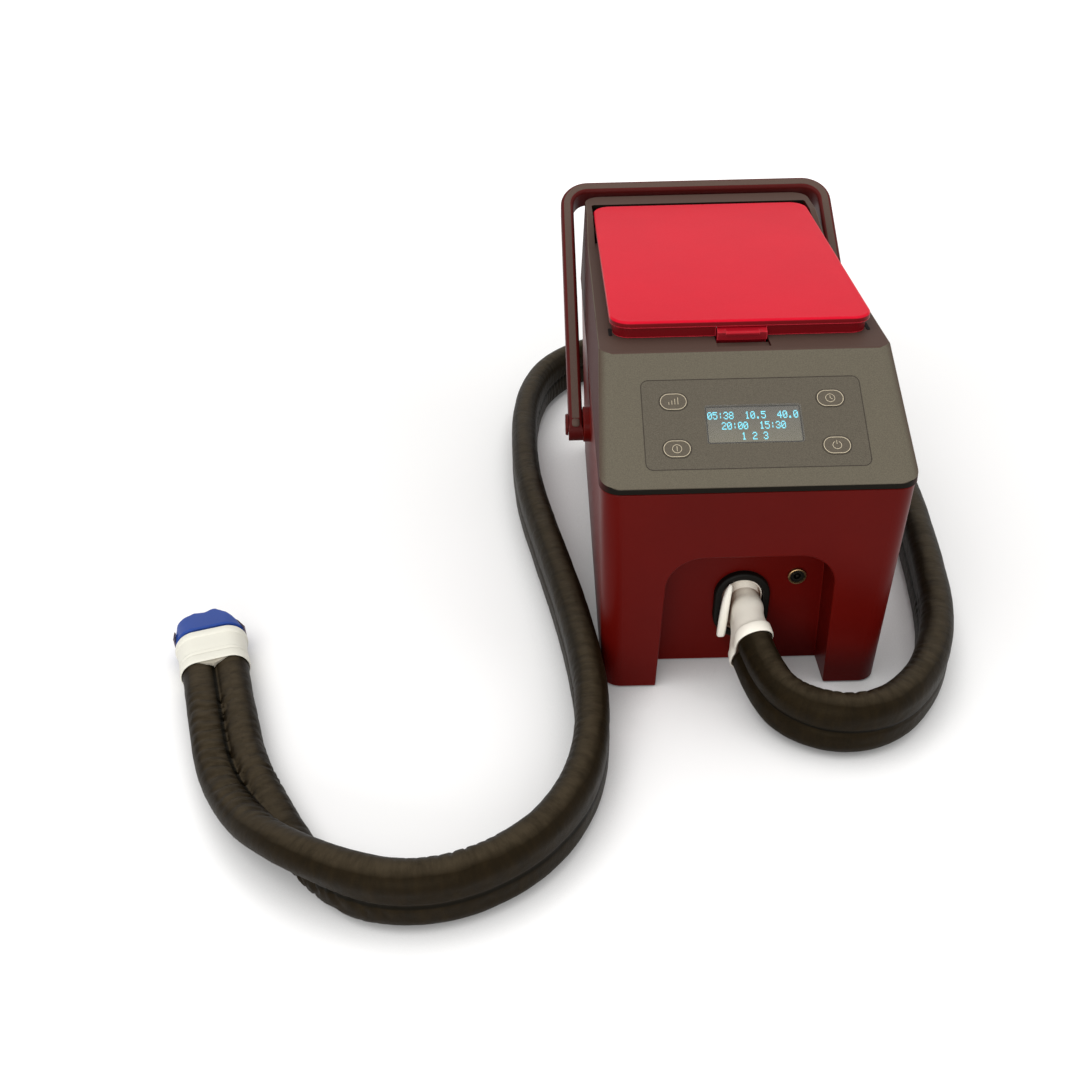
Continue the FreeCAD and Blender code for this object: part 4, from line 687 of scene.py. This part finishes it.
def bend_at(line, i):
    """How sharply and towards where the line bends, per metre."""
    a, c = around(line, i, BEND_REACH)
    b = line[i]
    if a == b or b == c:
        return Vector((0, 0, 0))
    return ((c - b).normalized() - (b - a).normalized()) / max(1e-6, ((c - a).length / 2))


def groove_at(travelled, loose):
    """Depth and half width of the groove between the tubes."""
    gripped = 1 - ease((travelled - GRIP_FROM) / GRIP_OVER)
    return [plain + more * loose + extra * gripped for plain, more, extra in (GROOVE_DEPTH, GROOVE_REACH)]


def loose_folds(y, travelled, drift):
    """How deep the folds of the loose sleeve are at a point, y from the seam."""
    if y < 0:  # deep tucks from the seam over the right tube
        fade = 1 - 0.7 * min(1.0, abs(y + TUCK_MIDDLE) / (2 * TUCK_MIDDLE))
        fold = 1.7 * furrow(travelled / TUCK_STEP + 1.2 * drift, 7) * fade
    else:  # rolls over the left tube's crown
        crown = 1 - min(1.0, abs(y - TUBE_MIDDLE) / TUBE_MIDDLE)
        rolled = ease((travelled - ROLLS_FROM) / ROLLS_OVER)
        fold = 1.3 * furrow(travelled / ROLL_STEP + 0.6 * drift, 3) * crown * rolled
    beside_seam = math.exp(-((abs(y) - PUCKER_MIDDLE) / PUCKER_MIDDLE) ** 2)
    pucker = furrow(travelled / PUCKER_STEP + 0.9 * drift, 6) * beside_seam
    return FOLD_DEPTH * fold + PUCKER_DEPTH * pucker


def ring_of_hose(section, place, thin, along, travelled, length, bend):
    """One ring of the sleeve: two tubes with a groove between them, and the cloth's folds."""
    loose = ease((travelled - LOOSE_FROM) / LOOSE_OVER)
    depth, spread = groove_at(travelled, loose)
    snug = ease((length - travelled - SNUG_FROM) / SNUG_OVER)
    end = ease(travelled / END_OVER) * ease((length - travelled) / END_OVER)
    ring = []
    for x, y in section:
        side = 1 if x > 0 else -1
        if abs(y) < HOSE_WIDE / 2:
            x -= side * min(abs(x), depth * math.exp(-abs(y) / spread))
        direction = thin * x + along * y
        outward = direction.normalized()
        key = Vector((travelled * 34, x * 90, y * 60))
        drift = noise.noise(key)
        patch = ease((noise.noise(Vector((travelled * 17, side * 2.0, y * 40))) + 0.25) / 0.5)
        push = -loose * snug * (0.2 + 0.8 * patch) * loose_folds(y, travelled, drift)
        # short creases on the inner side of the bends
        inner = max(0.0, outward.dot(bend)) ** 2
        crease = furrow(travelled / CREASE_STEP + 0.9 * drift, 7)
        push -= min(1.0, inner * 0.13) * CREASE_PRESS * crease * patch
        push += WAVE_DEPTH * drift + RIPPLE_DEPTH * noise.fractal(key * 3.1, 0.8, 2.2, 3) - SLACK
        point = place + direction + outward * push * end
        point.z = max(point.z, FLOOR_GAP)
        ring.append(point)
    return ring


def make_hose():
    line, length = even(read_line(HOSE_ROUTE), HOSE_STEP)
    frames = hose_frames(line)
    section = bar_outline(HOSE_THICK, HOSE_WIDE, HOSE_SIDES)
    rings = [ring_of_hose(section, *here, length, bend_at(line, i)) for i, here in enumerate(frames)]
    mesh = mesh_of("hose_sleeve", [tube_of(rings)], 75)
    layer = mesh.uv_layers.new(name="sleeve")
    for face in mesh.polygons:
        corners = [mesh.loops[k].vertex_index for k in face.loop_indices]
        over_start = len(corners) == 4 and {v % HOSE_SIDES for v in corners} >= {0, HOSE_SIDES - 1}
        for k, v in zip(face.loop_indices, corners):
            round_share = 1.0 if over_start and v % HOSE_SIDES == 0 else (v % HOSE_SIDES) / HOSE_SIDES
            layer.data[k].uv = (frames[v // HOSE_SIDES][3], round_share)
    return add(mesh, cloth, "console", "sleeve", "hose", "hose_riser", "hose_tail"), line


sleeve, hose_line = make_hose()


# -------- places on the console, in metres
MIDDLE = 0.19719  # cover's front lip to the origin
CREASE = 0.090  # front lip to the panel's upper crease
TOP = 0.225  # height of that crease
PANEL_DROP = 0.0525  # from it down to the front lip
SLOPE = math.atan2(PANEL_DROP, CREASE)
PANEL_OUT = Vector((0, -math.sin(SLOPE), math.cos(SLOPE)))
PANEL_DOWN = Vector((0, -math.cos(SLOPE), -math.sin(SLOPE)))


def at(x, depth, z):
    """A point from its depth behind the cover's front lip."""
    return Vector((x, depth - MIDDLE, z))


def on_panel(x, down, out):
    """A point on the sloping panel: down the slope from the crease, and out along its normal."""
    return at(x, CREASE, TOP) + PANEL_DOWN * down + PANEL_OUT * out


def arc(x, y, radius, start, end, steps):
    """Flat points along a circle's arc, in degrees."""
    made = []
    for n in range(steps + 1):
        a = math.radians(start + (end - start) * n / steps)
        made.append((x + radius * math.cos(a), y + radius * math.sin(a)))
    return made


def rounded_box(half_x, half_y, radius, steps):
    """Flat outline of a rounded rectangle round the origin, with as many steps in each corner."""
    made = []
    for sx, sy, start in ((1, 1, 0), (-1, 1, 90), (-1, -1, 180), (1, -1, 270)):
        made += arc(sx * (half_x - radius), sy * (half_y - radius), radius, start, start + 90, steps)
    return made


BEAD_SIDES = 8


def bead_of(points, radius, closed):
    """A thin round bead along points on the panel."""
    count = len(points)
    rings = []
    for i, p in enumerate(points):
        before = points[i - 1] if closed or i else p
        after = points[(i + 1) % count] if closed or i < count - 1 else p
        ahead = (after - before).normalized()
        side = ahead.cross(PANEL_OUT).normalized()
        up = side.cross(ahead).normalized()
        turns = [math.tau * k / BEAD_SIDES for k in range(BEAD_SIDES)]
        rings.append([p + side * (radius * math.cos(a)) + up * (radius * math.sin(a)) for a in turns])
    return tube_of(rings, closed)


def beads(name, lines, radius, material, body, slot_name):
    """Thin round lines: each is (points, closed)."""
    parts = [bead_of(points, radius, closed) for points, closed in lines]
    add(mesh_of(name, parts, 60), material, body, slot_name)


def slab_of(outline, base, out_low, out_high, inset):
    """A plate from a flat outline, with a chamfered upper edge; base puts its points in place."""
    cx = sum(p[0] for p in outline) / len(outline)
    cy = sum(p[1] for p in outline) / len(outline)
    rings = []
    for level, shrink in ((out_low, 0.0), (out_high - inset, 0.0), (out_high, inset)):
        ring = []
        for x, y in outline:
            k = 1 - shrink / max(math.hypot(x - cx, y - cy), 1e-6)
            ring.append(base(cx + (x - cx) * k, cy + (y - cy) * k, level))
        rings.append(ring)
    return tube_of(rings)


# -------- control panel, in metres
OVERLAY_HALF = 0.07235  # half of its width
OVERLAY_MIDDLE = 0.05645  # down the slope
OVERLAY_TALL = 0.03375  # half of its height
OVERLAY_ROUND = 0.005
KEY_HALF = 0.0089  # half of a key's width
KEY_TALL = 0.00625  # half of a key's height
KEY_TOP = 0.0003  # above the panel
KEY_RIM = 0.0004  # the pale ring, in from the key's edge
KEY_GAP = 0.0007  # the dark line, out from the key's edge
KEY_RING_RADIUS = 0.00024  # of the lines' round section
KEY_MARK_RADIUS = 0.00020
KEY_GAP_RADIUS = 0.00012
KEY_COLUMN = 0.0516
KEY_ROWS = (0.0395, 0.0750)  # down the slope
KEYS = {"zone_key": (-KEY_COLUMN, KEY_ROWS[0]), "start_key": (-KEY_COLUMN, KEY_ROWS[1]),
        "timer_key": (KEY_COLUMN, KEY_ROWS[0]), "power_key": (KEY_COLUMN, KEY_ROWS[1])}
WINDOW_TOP = 0.0428  # down the slope
WINDOW_TALL = 0.0291
WINDOW_HALF = 0.0317  # half of its width
WINDOW_EDGE = 0.0010  # the dark edge's line, in from the window's edge, and its corner radius


def flat_line(points, x, down, out, closed=False):
    """Flat points (right, up the slope) as a line on the panel."""
    return [on_panel(x + px, down - py, out) for px, py in points], closed


def key_marks():
    """Plain generic marks: level bars, a start ring, a clock and a power ring."""
    ring = arc(0, 0, 0.0030, 0, 360, 28)[:-1]
    bars = ((-0.0030, -0.0004), (-0.0010, 0.0008), (0.0010, 0.0020), (0.0030, 0.0030))
    return {
        "zone_key": [([(x, -0.0022), (x, top)], False) for x, top in bars],
        "start_key": [(ring, True), ([(0, -0.0019), (0, 0.0019)], False)],
        "timer_key": [(ring, True), ([(0, 0.0020), (0, 0), (0.0014, -0.0009)], False)],
        "power_key": [(arc(0, 0, 0.0028, 118, 422, 24), False), ([(0, 0.0006), (0, 0.0035)], False)],
    }


def make_keys():
    marks = key_marks()
    rim = rounded_box(KEY_HALF - KEY_RIM, KEY_TALL - KEY_RIM, KEY_TALL - KEY_RIM - 0.00005, 12)
    gap = rounded_box(KEY_HALF + KEY_GAP, KEY_TALL + KEY_GAP, KEY_TALL + KEY_GAP - 0.00005, 12)
    dark = []
    for name, (x, down) in KEYS.items():
        ring = flat_line(rim, x, down, KEY_TOP, True)
        beads(name + "_ring", [ring], KEY_RING_RADIUS, pale_print, name, "key_grey")
        lines = [flat_line(points, x, down, KEY_TOP, closed) for points, closed in marks[name]]
        beads(name + "_mark", lines, KEY_MARK_RADIUS, pale_print, name, "key_grey")
        dark.append(flat_line(gap, x, down, 0.0, True))
    beads("key_outlines", dark, KEY_GAP_RADIUS, dark_print, "console", "overlay_grey")


def make_overlay_edge(name, grow, out, radius, material):
    """A line round the overlay, grown past its edge and raised out of the panel."""
    outline = rounded_box(OVERLAY_HALF + grow, OVERLAY_TALL + grow, OVERLAY_ROUND + grow, 10)
    line = flat_line(outline, 0, OVERLAY_MIDDLE, out, True)
    beads(name, [line], radius, material, "console", "overlay_grey")


GLYPHS = {  # rows of pixels from the top down
    "0": "01110 10001 10011 10101 11001 10001 01110",
    "1": "00100 01100 00100 00100 00100 00100 01110",
    "2": "01110 10001 00001 00110 01000 10000 11111",
    "3": "01110 10001 00001 00110 00001 10001 01110",
    "4": "00010 00110 01010 10010 11111 00010 00010",
    "5": "11111 10000 11110 00001 00001 10001 01110",
    "8": "01110 10001 10001 01110 10001 10001 01110",
    ":": "00000 00100 00100 00000 00100 00100 00000",
    ".": "00000 00000 00000 00000 00000 01100 01100",
    " ": "",
}
ROWS = {0.0475: "05:38  10.5  40.0", 0.0553: "20:00  15:30", 0.0631: "1 2 3"}  # by how far down they are
GLYPH_STEP = 0.00352
GLYPH_OUT = -0.00100
PIXEL_WIDE = 0.00060
PIXEL_TALL = 0.00080
PIXEL_FILL = 0.98  # share of its cell that a lit pixel fills


def pixel_slab(left, down):
    """One lit pixel, from its cell's upper left corner."""
    middle = left + PIXEL_WIDE / 2
    half = PIXEL_WIDE * PIXEL_FILL / 2
    low = down + PIXEL_TALL * PIXEL_FILL
    cell = [(middle - half, down), (middle + half, down), (middle + half, low), (middle - half, low)]
    return slab_of(cell, on_panel, GLYPH_OUT - 0.0001, GLYPH_OUT + 0.00006, 0.00002)


def make_readout():
    """Lit pixels of the display: plain digits."""
    parts = []
    for down, text in ROWS.items():
        for i, letter in enumerate(text):
            left = GLYPH_STEP * (i - len(text) / 2)
            for row, bits in enumerate(GLYPHS[letter].split()):
                parts += [pixel_slab(left + PIXEL_WIDE * column, down + PIXEL_TALL * row)
                          for column, bit in enumerate(bits) if bit == "1"]
    add(mesh_of("display_readout", parts), pixel_cyan, "console", "display")


def make_window_frame():
    """The dark inner edge round the display, seen through the pane."""
    edge = rounded_box(WINDOW_HALF - WINDOW_EDGE, WINDOW_TALL / 2 - WINDOW_EDGE, WINDOW_EDGE, 6)
    line = flat_line(edge, 0, WINDOW_TOP + WINDOW_TALL / 2, -0.0009, True)
    beads("window_edge", [line], 0.00035, dark_hollow, "console", "display")


make_keys()
make_overlay_edge("overlay_edge", 0.0, 0.0, 0.00020, dark_print)
make_overlay_edge("overlay_light_edge", 0.0005, -0.00004, 0.00012, overlay_grey)
make_readout()
make_window_frame()


# -------- elbow
ELBOW_TILT = (18.5, 12)  # degrees that the mouth points down and to the right
ELBOW_SIDES = 72  # points round each ring
PINCH_REACH = 0.0042  # metres each way from the middle of a ring's long side
LEVER_BACK = 28.3  # mm behind the cover's front lip
LEVER_ROWS = (  # mm: height, left and right side, and the depth of its front
    (74.6, -8.9, -7.7, 26.6), (74.0, -9.5, -7.2, 25.9), (72.4, -10.5, -6.9, 25.0),
    (69.4, -11.8, -7.1, 24.2), (64.0, -13.1, -7.6, 23.6), (56.0, -14.1, -8.0, 23.2),
    (48.0, -14.8, -8.4, 23.0), (40.0, -15.2, -8.8, 23.1), (33.5, -15.5, -9.2, 23.3),
    (31.0, -15.5, -9.4, 23.6), (29.8, -15.2, -9.7, 24.0), (29.3, -14.6, -10.3, 24.7))


def oval(centre, across, along, width, tall, count, pinch=0.0):
    """A ring with round ends; pinch draws in the middle of its long sides."""
    made = []
    for x, y in bar_outline(width, tall, count):
        x -= math.copysign(pinch * math.exp(-(y / PINCH_REACH) ** 2), x)
        made.append(centre + across * x + along * y)
    return made


def spline_values(knots, steps):
    """Smooth values through rows of numbers (Catmull-Rom)."""
    made = []
    for i in range(len(knots) - 1):
        rows = [knots[max(0, i - 1)], knots[i], knots[i + 1], knots[min(len(knots) - 1, i + 2)]]
        for n in range(steps):
            t = n / steps
            made.append([0.5 * (2 * b + (c - a) * t + (2 * a - 5 * b + 4 * c - d) * t * t
                                + (3 * b - a - 3 * c + d) * t ** 3) for a, b, c, d in zip(*rows)])
    made.append(list(knots[-1]))
    return made


def tilted_ring(x, depth, z, tilt, yaw, width, tall, pinch):
    """A ring of the elbow, its axis pointing tilt down and yaw to the right, in millimetres and degrees."""
    tilt, yaw = math.radians(tilt), math.radians(yaw)
    ahead = Vector((math.sin(yaw) * math.cos(tilt), -math.cos(yaw) * math.cos(tilt), -math.sin(tilt)))
    across = ahead.cross(UP).normalized()
    along = across.cross(ahead).normalized()
    centre = at(x / 1000, depth / 1000, z / 1000)
    return oval(centre, across, along, width / 1000, tall / 1000, ELBOW_SIDES, pinch / 1000)


def make_elbow():
    """Plug, neck and mouth in one moulding; each row is what tilted_ring takes."""
    plug = [(1.3, 51.0, 53.5, 0, 0, 26.4, 43.9, 0), (1.3, 50.2, 53.5, 0, 0, 28.0, 45.5, 0),
            (1.3, 33.0, 53.5, 0, 0, 28.9, 46.4, 0), (1.3, 31.6, 53.5, 0, 0, 28.7, 46.2, 0),
            (1.4, 30.9, 53.4, 0, 0, 27.6, 45.1, 0), (1.5, 31.2, 53.4, 0, 0, 26.0, 43.5, 0),
            (1.7, 33.6, 53.2, 0, 0, 25.0, 42.1, 0), (2.4, 34.0, 52.8, 0, 0, 23.8, 39.0, 0)]
    neck = spline_values([
        (3.7, 33.4, 50.8, 1, 0, 22.6, 33.4, 0), (4.4, 30.0, 50.2, 4, 1, 22.8, 31.6, 0),
        (4.7, 24.5, 49.2, 8, 3, 23.0, 32.8, 0), (4.3, 18.5, 46.0, 12, 7, 22.0, 35.2, 0.1),
        (4.1, 13.0, 42.6, 16, 10, 23.2, 40.6, 0.4), (4.4, 10.0, 40.4, 18, 11.5, 24.6, 45.8, 0.6),
        (4.6, 8.9, 39.6, *ELBOW_TILT, 26.0, 48.8, 0.8)], 4)
    mouth = [(x, depth, z, *ELBOW_TILT, *section) for x, depth, z, *section in (
        (4.6, 8.3, 39.2, 26.6, 49.6, 0.8), (5.0, 5.6, 37.8, 27.2, 50.2, 0.9),
        (5.5, 2.5, 36.2, 27.4, 50.4, 1.0), (5.6, 2.0, 36.0, 26.9, 49.9, 1.0),
        (5.6, 2.1, 36.0, 25.4, 48.4, 1.0), (5.3, 3.6, 36.8, 24.6, 47.6, 1.0),
        (4.9, 6.2, 38.1, 23.6, 46.6, 1.0))]
    rings = [tilted_ring(*row) for row in plug + neck + mouth]
    mesh = mesh_of("hose_elbow_moulding", [tube_of(rings)], 50)
    return add(mesh, elbow_ivory_painted_lighter, "console", "ivory", "hose_elbow")


def make_lever():
    """The smooth squeeze lever that hugs the neck's left side."""
    rings = []
    for z, left, right, front in LEVER_ROWS:
        half_x, half_y = (right - left) / 2, (LEVER_BACK - front) / 2
        outline = rounded_box(half_x, half_y, min(half_x, half_y) * 0.92, 8)
        rings.append([at((left + half_x + px) / 1000, (front + half_y + py) / 1000, z / 1000)
                      for px, py in outline])
    mesh = mesh_of("elbow_latch_moulding", [tube_of(rings)], 60)
    return add(mesh, lever_ivory_painted_lighter, "elbow_lever", "ivory", "elbow_latch")


# -------- coupler at the hose's end
COUPLER_SIDES = 96  # points round each ring
COUPLER_BASE = at(-0.3790, 0.0160, 0.0156)
LAST_STRETCH = Vector(HOSE_ROUTE[-1]) - Vector(HOSE_ROUTE[-2])
COUPLER_AHEAD = Vector((LAST_STRETCH.x, LAST_STRETCH.y, 0)).normalized()
COUPLER_ACROSS = COUPLER_AHEAD.cross(UP).normalized()
CLAMP_PROFILE = (  # mm: along, wide and thick
    (2.0, 45.8, 22.6), (-0.8, 47.4, 24.6), (-1.6, 48.2, 25.4), (-1.7, 48.8, 26.0), (-1.2, 49.6, 26.8),
    (0.2, 50.0, 27.2), (3.0, 50.0, 27.3), (5.4, 50.0, 27.3), (6.3, 49.7, 27.0), (6.8, 48.8, 26.1),
    (6.9, 47.6, 24.9))
COLLAR_PROFILE = (
    (7.0, 46.0, 23.4), (7.0, 47.8, 25.0), (7.6, 49.0, 26.2), (8.6, 49.6, 26.8), (10.2, 49.7, 27.0),
    (10.6, 49.2, 26.5), (11.0, 49.1, 26.4), (11.4, 49.3, 26.6), (16.0, 49.5, 27.2), (22.0, 50.1, 27.9),
    (25.2, 50.7, 28.6), (25.6, 51.4, 29.4), (26.3, 52.2, 30.3), (27.4, 52.7, 30.9), (29.6, 52.8, 31.0),
    (31.0, 52.5, 30.8), (31.8, 51.8, 30.0), (32.0, 50.8, 29.2), (32.0, 40.0, 19.0), (31.4, 38.8, 17.8),
    (19.9, 38.2, 17.2))
CAP_VOXEL = 0.0006  # metres, for the rounding of the cap's edges
CAP_ROUNDS = 3
WEB_STEPS = 4
WEB_LONG = 5.4  # mm
WEB_HALF = 11.0  # mm, half of its width at the coupler
CAP_SIDES = (((35.0, 25.3), (44.0, 21.3), (52.0, 15.9), (57.0, 11.6)),  # mm: along and across
             ((37.5, -25.4), (41.5, -24.8), (46.0, -23.9)))
TAB = (0.0, 0.5, -4.0, 7.2)  # mm: from here to there out of the cap's side, bottom and top
RIM = (0.5, 0.8, -3.0, 8.0)
STRIP_BEVEL = 0.3  # mm


def on_coupler(u, v, w=0.0):
    """A point along the coupler, across it and up from its axis, in millimetres."""
    return COUPLER_BASE + COUPLER_AHEAD * (u / 1000) + COUPLER_ACROSS * (v / 1000) + UP * (w / 1000)


def turned_ovals(node_name, profile):
    """A moulding of oval sections in place of a node."""
    rings = [oval(on_coupler(u, 0), UP, COUPLER_ACROSS, thick / 1000, wide / 1000, COUPLER_SIDES)
             for u, wide, thick in profile]
    mesh = mesh_of(node_name + "_moulding", [tube_of(rings)], 35)
    return add(mesh, ivory, "console", "ivory", node_name)


def make_cap():
    """The cap's own shape with every edge rounded over."""
    mesh = nodes["coupler_release"].data.copy()
    mesh.materials.clear()
    holder = bpy.data.objects.new("soft_source", mesh)
    remesh = holder.modifiers.new("remesh", "REMESH")
    remesh.mode = "VOXEL"
    remesh.voxel_size = CAP_VOXEL
    rounding = holder.modifiers.new("smooth", "SMOOTH")
    rounding.factor = 0.5
    rounding.iterations = CAP_ROUNDS
    made = evaluated(holder)
    made.name = "coupler_release_moulding"
    smooth(made, 70)
    return add(made, blue, "release_cap", "blue", "coupler_release")


def make_web():
    """The pale web between the two tubes at the coupler's mouth, above and below."""
    parts = []
    for up in (1, -1):
        rings = []
        for step in range(WEB_STEPS + 1):
            share = step / WEB_STEPS
            half = WEB_HALF * (1 - share) + 0.25
            shoulder = 12.3 - 1.3 * share
            outline = ((-half, 12.1), (-half / 2, shoulder), (0, 12.2 - 3.2 * share),
                       (half / 2, shoulder), (half, 12.1), (half, 10.6), (0, 8.2), (-half, 10.6))
            rings.append([on_coupler(-0.4 - WEB_LONG * share, v, w * up) for v, w in outline])
        parts.append(tube_of(rings))
    return add(mesh_of("coupler_web", parts, 40), web_grey, "console", "ivory")


def side_strip(line, near, far, low, high):
    """A strip of the cap's side that follows a line, from near to far outside it."""
    rings = []
    for i, (u, v) in enumerate(line):
        before, after = around(line, i, 1)
        du, dv = after[0] - before[0], after[1] - before[1]
        size = math.hypot(du, dv)
        side = 1 if v > 0 else -1
        nu, nv = -dv / size * side, du / size * side
        section = ((near, low), (far, low), (far, high - STRIP_BEVEL), (far - STRIP_BEVEL, high),
                   (near, high))
        rings.append([on_coupler(u + nu * out, v + nv * out, w) for out, w in section])
    return tube_of(rings)


def make_cap_strips(name, section, material):
    """The strips on both sides of the cap: its clear tabs, or the darker rims outside them."""
    strips = [side_strip(line, *section) for line in CAP_SIDES]
    return add(mesh_of(name, strips, 30), material, "release_cap", "blue")


elbow = make_elbow()
clamp = turned_ovals("coupler_clamp", CLAMP_PROFILE)
collar = turned_ovals("coupler_collar", COLLAR_PROFILE)
web = make_web()
tabs = make_cap_strips("cap_side_tabs", TAB, tab_clear)
rims = make_cap_strips("cap_side_edges", RIM, tab_edge)
cap = make_cap()
lever = make_lever()


# -------- handle pads, and the painted shade of the slots beside the lid
PIVOT = at(0, 0.1835, 0.119)
LEAN = math.radians(30.2)  # of the folded handle's arms
PAD_X = 0.1115
PAD_LOW = -0.0042  # along the arms from the pivot
PAD_LEVELS = (0.0096, 0.0108, 0.0006)  # bottom, top and chamfer
SLOT_X = 0.0893
SLOT_DEPTH = 0.1228  # behind the cover's front lip
SLOT_LEVELS = (0.2246, 0.22525, 0.0002)


def on_handle(x, along, out):
    """A point in the folded handle's frame: along the arms and out of their plane."""
    return PIVOT + Vector((x, along * math.cos(LEAN) - out * math.sin(LEAN),
                           along * math.sin(LEAN) + out * math.cos(LEAN)))


def pair_of_plates(name, away, along, outline, base, levels, sharp, material, body, slot_name):
    """The same small plate on the left and on the right."""
    parts = [slab_of([(side * away + x, along + y) for x, y in outline], base, *levels) for side in (-1, 1)]
    add(mesh_of(name, parts, sharp), material, body, slot_name)


# a rounded pad below each end of the handle's strip, and a dark plate of painted shade for the slot beside
# each front corner of the lid
pair_of_plates("handle_pads", PAD_X, PAD_LOW, rounded_box(0.0030, 0.0036, 0.0022, 6), on_handle,
               PAD_LEVELS, 50, strip_grey, "grip", "gunmetal")
pair_of_plates("lid_slot_shade_plates", SLOT_X, SLOT_DEPTH, rounded_box(0.0013, 0.0062, 0.0012, 6), at,
               SLOT_LEVELS, 40, dark_hollow, "console", "black_plastic")
